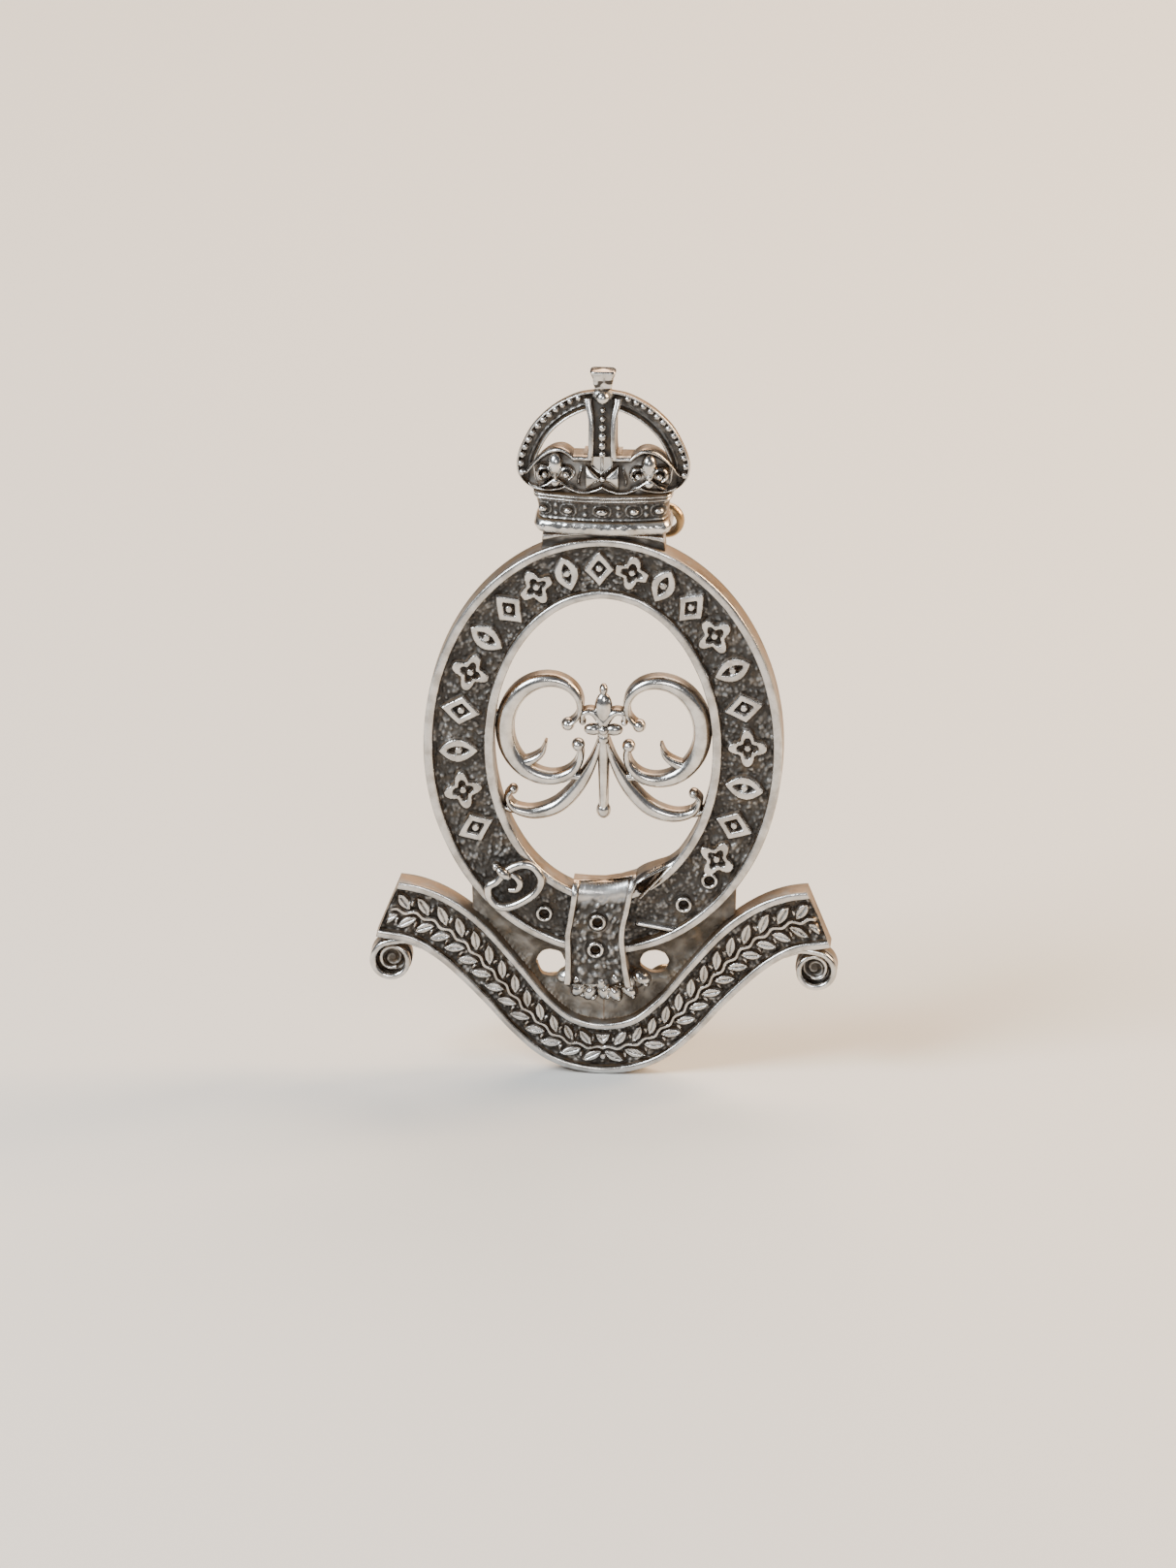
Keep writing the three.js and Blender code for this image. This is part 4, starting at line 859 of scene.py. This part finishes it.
def buckleShape():
    # a loop with softened corners, drawn in toward the tongue on its upper side
    t = np.linspace(0, 2 * pi, 140, endpoint=False)
    soft = lambda v: np.sign(v) * np.abs(v) ** 0.82
    a = (buckle["halfLong"] - buckle["wire"]) * soft(np.cos(t))
    b = (buckle["halfWide"] - buckle["wire"]) * soft(np.sin(t)) - 0.3 * np.exp(-((t - 1.95) / 0.3) ** 2)
    c, s = np.cos(np.radians(buckle["turn"])), np.sin(np.radians(buckle["turn"]))
    line = np.stack([buckle["centre"][0] + a * c - b * s, buckle["centre"][1] + a * s + b * c], -1)
    smooth = np.ones(7) / 7
    line = np.stack([np.convolve(np.tile(line[:, k], 3), smooth, "same")[140:280] for k in (0, 1)], -1)
    return roundRod(np.concatenate([line[-1:], line, line[:1]]), buckle["wire"], buckle["height"], 16, True)


makePiece("buckleFrame", buckleShape(), rubbedSilver, ["buckle_frame"])
hookLine, hookRun = spread([(-6.25, -9.15), (-5.8, -9.5), (-5.62, -9.95), (-5.85, -10.38),
                            (-6.4, -10.45)], 50)
makePiece("buckleTongue", joined([
    roundRod(hookLine, 0.16 + 0.1 * np.sin(np.linspace(0.3, pi, 50)), 2.3 - 0.25 * hookRun / hookRun[-1]),
    blob((-6.72, 2.62, -9.0), (0.34, 0.46, 0.62), np.radians(-50), 14, 22),
    blob((-7.2, 2.1, -8.72), (0.32, 0.5, 0.4), np.radians(-50), 10, 18)]),
          rubbedSilver, ["buckle_tongue"])
print("buckle done")

# ---- scrollwork in the open centre
scrollwork = {"back": 0.4, "top": 1.7}


def scrollLine(x, z, heading, before, after, bend, tighten, count):
    # heading turns in step with length plus its cube, so both ends wind in
    s = np.linspace(-before, after, count)
    fine = np.linspace(-before, after, 1201)
    angle = np.radians(heading) + bend * fine + tighten * fine ** 3
    px, pz = (np.concatenate([[0], np.cumsum((f[1:] + f[:-1]) / 2 * np.diff(fine))])
              for f in (np.cos(angle), np.sin(angle)))
    px, pz = px - np.interp(0, fine, px) + x, pz - np.interp(0, fine, pz) + z
    return np.stack([np.interp(s, fine, px), np.interp(s, fine, pz)], -1), s


def bigScroll(side):
    # a branch thickest at its middle, wound in at both ends
    line, s = scrollLine(-6.72, 1.0, 90, 8.9, 9.9, -0.252, -0.0019, 220)
    main = cord(flipped(line, side), 0.4 + 0.86 * np.clip(1 - (s / 8.8) ** 2, 0, 1), scrollwork["top"],
                 scrollwork["back"])
    ends = [blob((side * line[k, 0], 1.15, line[k, 1]), (0.46, 0.6, 0.46), 0, 10, 18) for k in (0, -1)]
    # a spur leaf inside the lower turn
    spur, _ = spread([(-6.0, -1.6), (-5.0, -1.35), (-4.2, -0.75), (-3.9, 0.1)], 50)
    spurWide = 0.62 * (1 - np.linspace(0, 1, 50) ** 1.6) + 0.16
    anchorLine = flipped(np.array([(-7.75, 1.5), (-7.35, 1.5), (-6.6, 1.5)]), side)
    return joined([main] + ends + [cord(flipped(spur, side), spurWide, 1.55, 0.46),
                                   cord(anchorLine, 1.1, 1.0, 0.35, 0.5)])


def lowScroll(side):
    # a long S-shaped branch from the stem, out and down, ending in a hook with leaves along it
    knots = [(-0.25, 0.25), (-0.75, -1.3), (-1.75, -3.1), (-3.1, -4.5), (-4.7, -5.05), (-6.05, -4.75),
             (-6.55, -3.95), (-6.2, -3.4)]
    line, s = spread(knots, 150)
    f = s / s[-1]
    main = cord(flipped(line, side), 0.36 + 0.7 * np.sin(pi * f) ** 1.3, scrollwork["top"],
                 scrollwork["back"] + 0.03)
    parts = [main, blob((side * -6.15, 1.1, -3.4), (0.36, 0.55, 0.36), 0, 10, 16)]
    for tip in ([(-1.35, -2.4), (-2.1, -2.35), (-2.75, -2.75)], [(-5.9, -4.8), (-6.6, -4.75), (-7.0, -4.3)]):
        leaf, _ = spread(tip, 40)
        parts.append(cord(flipped(leaf, side), 0.6 * (1 - np.linspace(0, 1, 40) ** 1.5) + 0.12, 1.55, 0.49))
    return joined(parts)


for side, word in ((1, "Left"), (-1, "Right")):
    makePiece("scroll" + word, bigScroll(side), rubbedSilver, ["scroll_" + word.lower()])
    makePiece("tendril" + word, lowScroll(side), rubbedSilver, ["tendril_" + word.lower()])


def knotShape():
    # a bloom of four petals between the scrolls, a tall bud above and a leafy stem below
    petals = [blob((0.72 * np.sin(a), 1.25, 1.1 + 0.72 * np.cos(a)), (0.42, 0.45, 0.62), a, 10, 16)
              for a in np.radians([90, 180, 270])]
    bud = [blob((0, 1.2, 2.6), (0.62, 0.5, 1.15), 0, 14, 20),
           blob((0, 1.15, 3.95), (0.3, 0.45, 0.42), 0, 10, 16)]
    stem, _ = spread([(0, -4.6), (0.0, -3.0), (0, 1.0)], 60)
    pairs = []
    for side in (-1, 1):
        curlLine, _ = spread([(0, 1.5), (side * 0.7, 2.3), (side * 1.35, 2.25), (side * 1.45, 1.7)], 40)
        pairs.append(cord(curlLine, np.linspace(0.72, 0.34, 40), 1.6, 0.55))
        pairs.append(blob((side * 1.42, 1.1, 1.62), (0.26, 0.5, 0.26), 0, 8, 14))
    foot = blob((0, 1.15, -4.75), (0.5, 0.55, 0.6), 0, 10, 16)
    return joined(petals + bud + pairs + [cord(stem, np.linspace(0.6, 0.85, 60), 1.65, 0.52), foot,
                                          blob((0, 1.5, 1.1), (0.34, 0.35, 0.34), 0, 8, 14)])


makePiece("scrollKnot", knotShape(), rubbedSilver, ["scroll_knot"])
print("scrollwork done")

# ---- crown
crown = {"edge": 2.0, "bulge": 1.3, "half": 6.0}
rollBand = {"low": 15.6, "high": 0.93}
moulding = {"low": 17.95, "high": 0.47}


def crownFront(x):
    # front of the crown: farthest out at the middle, falling with the square of x
    return crown["edge"] + crown["bulge"] * (1 - (x / crown["half"]) ** 2)


def course(name, levels, look, nodes, relief, count=150):
    # a bowed course of the crown: levels are (z, half width), joined by straight lines
    f, at = np.linspace(0, 1, 26), np.linspace(0, 1, len(levels))
    zs, halves = (np.interp(f, at, np.array(v, float)) for v in zip(*levels))
    u = np.sin(np.linspace(-pi / 2, pi / 2, count))
    x, z = halves[:, None] * u[None, :], np.repeat(zs[:, None], count, 1)
    lift, tone = relief(x, z)
    # the ends fall away over the last tenth of the width, as a quarter circle
    fall = 0.9 * (1 - np.sqrt(np.clip(1 - np.clip((np.abs(u) - 0.9) / 0.1, 0, 1) ** 2, 0, 1)))
    makePiece(name, slab(x, z, crownFront(x) + lift - fall[None, :], tone), look, nodes)


def collarShape():
    # a low neck between the strap's top edge and the roll, with one thin ridge across it
    foot = ellipsePoint(np.linspace(-20.4, 20.4, 120) * pi / 180, 0.15)
    v = np.linspace(0, 1, 40)[:, None]
    x = foot[:, 0] * (1 - v) + np.linspace(-4.05, 4.05, 120) * v
    z = foot[:, 1] * (1 - v) + (rollBand["low"] + 0.05) * v
    ridge = np.sqrt(np.clip(1 - ((v - 0.6) / 0.16) ** 2, 0, 1))
    h = 1.5 + 0.3 * ridge + 0.06 * softNoise(x * 2, z * 3, 41)
    tone = 0.3 + 0.5 * ridge + 0.2 * softNoise(x * 1.5, z * 2, 42)
    return slab(x, z, h, tone)


makePiece("crownCollar", collarShape(), struckSilver, ["crown_collar"])


def rollRelief(x, z):
    f = (z - rollBand["low"]) / rollBand["high"]
    bead = np.sqrt(np.clip(1 - (2 * f - 1) ** 2, 0, 1))
    notch = 0.09 * softNoise(x * 1.6, z * 0 + 0.5, 43) + 0.03 * softNoise(x * 5, z * 5, 44)
    return 0.42 * bead - 0.5 + notch, 0.1 + 0.75 * bead + 2.2 * notch


course("crownRoll", [(rollBand["low"], 4.45), (16.05, 4.68), (16.53, 4.5)], rubbedSilver,
       ["crown_roll"], rollRelief)
jewels = {"at": (-4.0, -2.3, 0.0, 2.15, 3.8), "z": 17.3, "lowLine": 16.68, "highLine": 17.86}


def circletRelief(x, z):
    # a thin lip round each stud, small pellets between, a fine line along both edges
    lift, tone = np.zeros_like(x), np.full_like(x, 0.1)
    for k, cx in enumerate(jewels["at"]):
        wide = 0.62 if k == 2 else 0.56
        r = (np.abs((x - cx) / wide) ** 2.6 + np.abs((z - jewels["z"]) / 0.42) ** 2.6) ** (1 / 2.6)
        ring = np.clip(1 - np.abs(r - 0.95) / 0.14, 0, 1)
        lift, tone = lift + 0.1 * ring, tone + 0.4 * ring
    for cx in (-3.15, -1.15, 1.1, 2.97):
        for dz in (-0.28, 0.28):
            pellet = np.clip(1 - np.hypot(x - cx, z - jewels["z"] - dz) / 0.19, 0, 1)
            lift, tone = lift + 0.2 * np.sqrt(pellet), tone + 0.7 * pellet
    line = np.clip(1 - np.abs(z - jewels["lowLine"]) / 0.1, 0, 1) \
        + np.clip(1 - np.abs(z - jewels["highLine"]) / 0.09, 0, 1)
    grainy = pebbles(x, z, 0.22, 45)
    return lift - 0.55 + 0.05 * grainy + 0.14 * line, tone + 0.2 * grainy + 0.6 * line


course("crownCirclet", [(16.5, 4.35), (17.2, 4.4), (17.97, 4.55)], struckSilver, ["crown_circlet"],
       circletRelief, 220)


def mouldRelief(x, z):
    # two fine beads with a groove between
    f = (z - moulding["low"]) / moulding["high"]
    line = np.abs(np.sin(2 * pi * f)) ** 0.7
    return (0.2 * line - 0.42 + 0.03 * softNoise(x * 2, z * 0, 46),
            0.05 + 0.85 * line + 0.1 * softNoise(x * 2, z * 3, 48))


course("crownMoulding", [(moulding["low"], 4.66), (18.2, 4.74), (18.42, 4.72)], rubbedSilver,
       ["crown_moulding"], mouldRelief)
for k, cx in enumerate(jewels["at"]):
    # the middle stud is wider and squarer than the others
    wide, power = (0.44, 0.5) if k == 2 else (0.34, 0.9)
    stud = blob((cx, crownFront(cx) - 0.5, jewels["z"]), (wide, 0.4, 0.24), 0, 12, 22, power)
    makePiece(f"circletJewel{k + 1}", stud, rubbedSilver, [f"circlet_jewel_{k + 1}"])
print("crown base done")

cap = {"peak": 21.7, "peakX": 2.9, "level": 21.2, "fall": 0.37, "inner": 0.85, "outer": 5.6, "foot": 18.4}
swag = {"z": 18.95, "drop": 0.42, "nearSpan": 2.5, "farSpan": 2.9, "half": 0.14}


def capTop(x):
    # upper edge of a cap lobe: two parabolas meeting at the peak, held level toward the middle
    r = np.abs(x)
    inner = np.maximum(cap["peak"] - 0.55 * (r - cap["peakX"]) ** 2, cap["level"])
    return np.where(r < cap["peakX"], inner, cap["peak"] - cap["fall"] * (r - cap["peakX"]) ** 2)


def scallop(x):
    # the low bright line hangs in swags between cusps at the middle, at the near span and at the outer side
    r = np.abs(x)
    sag = lambda share: swag["z"] - swag["drop"] * np.sin(pi * np.clip(share, 0, 1)) ** 0.8
    far = sag((r - swag["nearSpan"]) / swag["farSpan"]) + 0.5 * np.clip(r - 4.6, 0, None) ** 2
    return np.where(r < swag["nearSpan"], sag(r / swag["nearSpan"]), far)


def swagLine(x, z):
    # rounded ridge along the swags: half circle across, 0 beyond its half width
    return np.sqrt(np.clip(1 - ((z - scallop(x)) / swag["half"]) ** 2, 0, 1))


def capShape(side):
    # a swelling lobe under a rolled edge; the swag line crosses its foot
    x = np.linspace(cap["inner"], cap["outer"], 150)
    bottom = cap["foot"] + np.clip(x - 4.75, 0, None) * 1.75
    top = capTop(x)
    v = np.linspace(0, 1, 130)[:, None]
    z = bottom + (top - bottom) * v
    x = np.repeat(x[None, :], 130, 0)
    fromTop = top - z
    bead = np.sqrt(np.clip(1 - ((fromTop - 0.19) / 0.19) ** 2, 0, 1))
    hung = swagLine(x, z)
    blade = np.clip(1 - np.abs(x - 1.5 - 0.1 * np.sin(3 * z)) / 0.12, 0, 1) * smoothStep(18.9, 19.2, z) \
        * smoothStep(20.5, 20.0, z)
    puff = np.exp(-((x - 3.1) / 1.5) ** 2 - ((z - 19.9) / 1.1) ** 2)
    inner = smoothStep(0.38, 0.6, fromTop)
    wrinkle = softNoise(x * 2.5, z * 2.5, 47)
    h = crownFront(x) - 0.8 - 0.15 * inner + 0.35 * puff + 0.4 * bead + 0.36 * hung + 0.3 * blade \
        + 0.04 * wrinkle
    h = np.maximum(h - 0.5 * smoothStep(4.9, 5.6, x), 0.9)
    tone = np.clip(0.32 + 0.7 * np.maximum(bead, hung) + 0.5 * blade + 0.28 * puff * inner
                   + 0.14 * wrinkle, 0, 1)
    return slab(side * x, z, h, tone, rearX=side * (0.9 * x + 0.3), rearZ=bottom + (z - bottom) * 0.86)


makePair("crownCap", "crown_cap_", capShape, struckSilver)

arch = {"knots": [(4.4, 18.5), (5.0, 19.3), (5.2, 20.3), (4.82, 21.5), (4.1, 22.75), (2.95, 23.85),
                  (1.6, 24.6), (0.45, 24.85)], "wide": 1.3, "pearls": 13, "pearl": 0.27}


def archShape(side):
    # a fine outer edge, a row of pearls beside it, a sunk band and a thin inner edge
    line, s = spread(arch["knots"], 220)
    line = flipped(line, side)
    centre, across, up = flatFrame(line)
    across = across * -side
    w, h, mask = rimmedSection(arch["wide"], 0.2, 0.15, 1.4, 1.8, 18, 0.6)
    w, h = atEach(len(s), w, h)
    slope = 1 - 0.35 * smoothStep(1.3, 0.6, h)
    slope = slope * (0.4 + 0.6 * smoothStep(0, 1.6, s))[:, None]
    ridge = np.clip(1 - np.abs(w - 0.42) / 0.12, 0, 1) * mask
    tone = np.where(mask > 0, 0.26 + 0.35 * ridge + 0.14 * softNoise(s[:, None] * 4, w * 6, 49),
                    0.2 + 0.6 * smoothStep(1.5, 1.78, h))
    h = h + 0.14 * ridge
    v = (w - arch["wide"] / 2) * slope
    pearls = []
    for k in range(arch["pearls"]):
        i = int(34 + (len(s) - 62) * k / (arch["pearls"] - 1))
        spot = centre[i] + across[i] * (arch["wide"] / 2 - 0.3)
        pearls.append(blob((spot[0], 1.52, spot[2]), (arch["pearl"], 0.36, arch["pearl"]), 0, 8, 14))
    return joined([carried(centre, across, up, v, h, tone)] + pearls)


makePair("crownArch", "crown_arch_", archShape, struckSilver)
frontArch = {"foot": 20.95, "top": 25.05, "half": 0.93, "flare": 0.34,
             "pearls": ((21.3, 0.27), (21.9, 0.3), (22.5, 0.31), (23.12, 0.29), (23.7, 0.25), (24.25, 0.22))}


def frontArchShape():
    # bowed back toward the top, edges flaring outward there, with a column of pearls between them
    n = 120
    f = np.linspace(0, 1, n)
    z = frontArch["foot"] + (frontArch["top"] - frontArch["foot"]) * f
    half = frontArch["half"] + frontArch["flare"] * smoothStep(0.55, 1.0, f) ** 1.4 \
        + 0.06 * smoothStep(0.25, 0.0, f)
    w, h, mask = rimmedSection(2.0, 0.4, 0.4, 2.55, 2.98, 30, 0.6)
    lean = 0.95 * f[:, None] ** 2.2 + 0.1 * (1 - f[:, None]) ** 4
    w, h = atEach(n, w, h)
    tone = np.where(mask > 0, 0.08 + 0.1 * softNoise(w * 4, z[:, None] * 4, 50),
                    0.3 + 0.7 * smoothStep(2.55, 2.9, h))
    h = np.where(h > 1.2, h - lean, h + 0.06)
    v = (w - 1) * half[:, None]
    centre = np.stack([0 * z, 0 * z, z], -1)
    across, up = np.tile([1.0, 0, 0], (n, 1)), np.tile([0, -1.0, 0], (n, 1))
    beads = [blob((0, 2.6 - 0.95 * ((b - frontArch["foot"]) / 4.1) ** 2.2, b), (r, 0.32, r), 0, 8, 14)
             for b, r in frontArch["pearls"]]
    return joined([carried(centre, across, up, v, h, tone)] + beads)


makePiece("crownArchFront", frontArchShape(), struckSilver, ["crown_arch_front"])


def ornamentShape():
    # a bow of two flaring petals about a pellet, under a ribbed shield that runs into the front arch
    x, z = np.meshgrid(np.linspace(-1.28, 1.28, 150), np.linspace(18.42, 21.2, 160))
    r, dz = np.abs(x), np.abs(z - 19.62)
    half = 0.12 + 0.76 * np.clip(r - 0.12, 0, None) / 0.9
    petal = smoothStep(-0.02, 0.12, half - dz) * smoothStep(0.1, 0.2, r) * smoothStep(1.2, 1.06, r)
    crease = petal * (1 - 0.75 * np.clip(dz / half, 0, 1) ** 1.5)
    pellet = np.sqrt(np.clip(1 - (np.hypot(x, z - 19.5) / 0.3) ** 2, 0, 1))
    wide = np.where(z > 20.62, 0.86 - 0.1 * (z - 20.62), 0.86 * np.clip((z - 20.02) / 0.6, 0, 1) ** 0.6)
    shield = smoothStep(-0.02, 0.1, wide - r) * smoothStep(19.95, 20.05, z)
    ridge = np.clip(1 - np.abs(wide - r - 0.14) / 0.12, 0, 1) * shield + np.clip(1 - r / 0.13, 0, 1) * shield
    hung = swagLine(x, z)
    h = crownFront(x) - 1.05 + 0.25 * petal + 0.42 * crease + 0.5 * pellet + 0.55 * shield + 0.24 * ridge \
        + 0.4 * hung * (1 - petal)
    tone = np.clip(0.26 + 0.2 * petal + 0.6 * crease + 0.8 * pellet + 0.35 * shield + 0.5 * ridge
                   + 0.7 * hung, 0, 1)
    return slab(x, z, np.minimum(h, 3.4), tone, back=0.6)


makePiece("crownCentreOrnament", ornamentShape(), rubbedSilver, ["crown_centre_ornament"])


def leafShape(side):
    # three-lobed leaf: an upright petal, curls rolling down either side of it, a pellet inside each curl
    cx, tall = side * 3.15, crownFront(3.2) + 0.02
    parts = [blob((cx, tall - 0.5, 20.55), (0.52, 0.62, 0.78), 0, 14, 22),
             blob((cx, tall - 0.55, 19.3), (0.38, 0.55, 0.4), 0, 10, 16),
             cord(spread([(cx, 20.2), (cx, 19.2)], 12)[0], 0.42, tall - 0.08, 1.0)]
    for d in (-1, 1):
        curlLine, _ = spread([(cx + d * 0.12, 19.7), (cx + d * 0.52, 20.28), (cx + d * 1.0, 20.28),
                              (cx + d * 1.2, 19.84), (cx + d * 0.9, 19.52)], 44)
        foot, _ = spread([(cx + d * 0.1, 19.5), (cx + d * 0.62, 19.12), (cx + d * 1.2, 18.9)], 30)
        parts += [cord(curlLine, 0.38, tall - 0.06, 1.0),
                  cord(foot, np.linspace(0.4, 0.22, 30), tall - 0.12, 1.0),
                  blob((cx + d * 0.72, tall - 0.36, 19.84), (0.25, 0.46, 0.25), 0, 9, 14)]
    return joined(parts)


makePair("crownLeaf", "crown_leaf_", leafShape, rubbedSilver)


def finialShape():
    # a flared block with flat sides and softened corners, worn, dented and slightly domed on top
    m, foot, tall, middle = 64, 25.6, 1.4, 1.62
    f = np.concatenate([np.linspace(0, 1, 46), np.linspace(1.01, 1.06, 6)])[:, None]
    phi = np.linspace(0, 2 * pi, m, endpoint=False)[None, :]
    corner = (np.abs(np.cos(phi)) ** 5 + np.abs(np.sin(phi)) ** 5) ** -0.2
    half = np.interp(f, [0, 0.12, 0.3, 0.62, 0.86, 0.95, 1, 1.06],
                     [0.44, 0.58, 0.62, 0.72, 0.86, 0.87, 0.8, 0.1])
    dent = 0.05 * softNoise(f * 7, phi * 2.5, 51) * np.minimum(half, 0.6)
    x = (half * corner + dent) * np.cos(phi)
    h = middle + (half * corner + dent) * 0.72 * np.sin(phi)
    z = foot + tall * f + 0 * phi
    n = len(f)
    points = np.stack([x, -h, z], -1)
    pits = smoothStep(-0.15, 0.2, softNoise(z * 3.2 + 4, phi * 2.1, 52)) * smoothStep(0.95, 0.7, f)
    tone = np.clip(0.9 - 0.85 * pits, 0, 1)
    return outward((np.concatenate([points.reshape(-1, 3), points[[0, -1]].mean(1)]),
                    gridQuads(n, m, False, True), capTris(n, m),
                    np.concatenate([tone.reshape(-1), [0.5, 0.9]])))


makePiece("crownOrb", joined([blob((0, 2.1, 25.15), (0.46, 0.5, 0.46), 0, 14, 24),
                              blob((0, 1.45, 25.2), (0.8, 0.6, 0.5), 0, 10, 24, 0.8, (0.2, 0.45))]),
          rubbedSilver, ["crown_orb"])
makePiece("crownFinial", finialShape(), rubbedSilver, ["crown_finial"])
print("crown done")

# ---- lugs and split pins behind
lug = {"wire": 0.42, "inner": 0.61, "reach": 2.58, "topZ": 14.9, "bottomZ": -18.6}
pin = {"radius": 0.52, "slit": 0.04, "tip": -4.45, "neck": 2.3, "eyeX": 4.0, "eyeInner": 0.72}


def lugShape(z):
    # round wire bent to a U off the back, feet spread a little into the solder
    r = lug["inner"] + lug["wire"]
    a = np.linspace(0, pi, 40)
    y = np.concatenate([np.linspace(0, lug["reach"], 24)[:-1], lug["reach"] + r * np.sin(a),
                        np.linspace(lug["reach"], 0, 24)[1:]])
    dz = np.concatenate([np.full(23, -r), -r * np.cos(a), np.full(23, r)])
    step = unitSteps(np.stack([y, dz], -1))
    centre = np.stack([0 * y, y, z + dz], -1)
    across = np.stack([0 * y, -step[:, 1], step[:, 0]], -1)
    k = np.linspace(0, 2 * pi, 20, endpoint=False)
    flare = (lug["wire"] * (1 + 0.35 * np.exp(-y / 0.22)))[:, None]
    w, h = flare * np.cos(k)[None, :], flare * np.sin(k)[None, :]
    w = np.where(np.abs(dz)[:, None] + np.abs(w) > r + lug["wire"], np.sign(w) * lug["wire"], w)
    # painted shade: the wire darker next to the badge's back, lighter toward the bend
    tone = 0.35 + 0.5 * smoothStep(0.2, 1.5, y)[:, None] + 0 * w
    return carried(centre, across, np.tile([1.0, 0, 0], (len(y), 1)), w, h, tone)


def pinShape(z):
    # half-round wire doubled on itself: two straight legs and a round eye
    t = np.linspace(0, 1, 24)[:, None]
    # the neck widens along a cubic curve with four guide points
    p = np.array([(pin["neck"], pin["slit"]), (3.2, pin["slit"]), (3.5, pin["eyeInner"]),
                  (pin["eyeX"], pin["eyeInner"])])
    bend = (1 - t) ** 3 * p[0] + 3 * (1 - t) ** 2 * t * p[1] + 3 * (1 - t) * t ** 2 * p[2] + t ** 3 * p[3]
    leg = np.stack([np.linspace(pin["tip"], pin["neck"], 30), np.full(30, pin["slit"])], -1)
    a = np.linspace(pi / 2, -pi / 2, 40)[1:-1]
    eye = np.stack([pin["eyeX"] + pin["eyeInner"] * np.cos(a), pin["eyeInner"] * np.sin(a)], -1)
    half = np.concatenate([leg, bend[1:]])
    line = np.concatenate([half, eye, half[::-1] * [1, -1]])
    step = unitSteps(line)
    centre = np.stack([line[:, 0], np.full(len(line), lug["reach"]), z + line[:, 1]], -1)
    across = np.stack([-step[:, 1], 0 * step[:, 0], step[:, 0]], -1)
    k = np.linspace(0, pi, 16)
    taper = np.ones(len(line))
    taper[:8] = np.linspace(0.62, 1, 8)
    taper[-8:] = np.linspace(1, 0.62, 8)
    w = pin["radius"] * np.sin(k)[None, :] * taper[:, None]
    h = pin["radius"] * np.cos(k)[None, :] * taper[:, None]
    tone = 0.25 + 0.65 * np.sin(k)[None, :] + 0 * w
    return carried(centre, across, np.tile([0, 1.0, 0], (len(line), 1)), w, h, tone)


for word, z in (("Top", lug["topZ"]), ("Bottom", lug["bottomZ"])):
    makePiece("lug" + word, lugShape(z), pinBrass, ["lug_" + word.lower()])
    makePiece("splitPin" + word, pinShape(z), pinBrass, ["split_pin_" + word.lower()], word.lower() + "_pin")
print("fixings done")

# ---- floor, light and camera
stageSet = {"floorZ": cadBox[0][2] - 0.00002, "distance": 1.0, "rise": 20.6, "yaw": 4.0,
            "aim": (-1.04, -1.4, -2.83), "span": 106.4, "sensor": 36}
bpy.ops.mesh.primitive_plane_add(size=3, location=(0, 0.4, stageSet["floorZ"]))
floor = bpy.context.object
floor.name = "floor"
paper = bpy.data.materials.new("palePaper")
paper.use_nodes = True
paperShader = paper.node_tree.nodes["Principled BSDF"]
paperShader.inputs["Base Color"].default_value = (0.62, 0.60, 0.57, 1)
paperShader.inputs["Roughness"].default_value = 0.75
floor.data.materials.append(paper)

world = bpy.data.worlds.new("studio")
bpy.context.scene.world = world
world.use_nodes = True
world.node_tree.nodes["Background"].inputs["Color"].default_value = (0.42, 0.42, 0.44, 1)
world.node_tree.nodes["Background"].inputs["Strength"].default_value = 0.4


def areaLight(name, place, target, size, power, colour):
    lamp = bpy.data.lights.new(name, "AREA")
    lamp.shape, lamp.size, lamp.size_y = "RECTANGLE", size[0], size[1]
    lamp.energy, lamp.color = power, colour
    holder = bpy.data.objects.new(name, lamp)
    holder.location = place
    holder.rotation_euler = (Vector(target) - Vector(place)).to_track_quat("-Z", "Y").to_euler()
    bpy.context.scene.collection.objects.link(holder)


areaLight("windowLeft", (-0.40, -0.26, 0.42), (0, 0, 0), (0.3, 0.3), 7.5, (0.88, 0.95, 1.0))
areaLight("warmRight", (0.42, 0.14, 0.24), (0, 0, 0), (0.18, 0.24), 5.5, (1.0, 0.70, 0.40))
areaLight("warmAbove", (0.10, 0.38, 0.34), (0, 0, 0), (0.5, 0.2), 4.0, (1.0, 0.78, 0.58))
areaLight("softFront", (0.10, -0.6, 0.30), (0, 0, 0), (0.22, 0.12), 1.6, (1.0, 0.97, 0.94))

eye = bpy.data.cameras.new("camera")
camera = bpy.data.objects.new("camera", eye)
bpy.context.scene.collection.objects.link(camera)
rise, yaw = np.radians(stageSet["rise"]), np.radians(stageSet["yaw"])
aim = np.array(stageSet["aim"]) * 0.001
away = np.array([np.sin(yaw) * np.cos(rise), -np.cos(yaw) * np.cos(rise), np.sin(rise)])
camera.location = aim + away * stageSet["distance"]
camera.rotation_mode = "QUATERNION"
camera.rotation_quaternion = Vector(-away).to_track_quat("-Z", "Y")
camera.rotation_mode = "XYZ"
# the lens that fits the span, at the camera's distance, onto the sensor
eye.sensor_width = stageSet["sensor"]
eye.lens = stageSet["sensor"] * stageSet["distance"] / (stageSet["span"] * 0.001)
eye.clip_start = 0.01
bpy.context.scene.camera = camera
print("stage set")
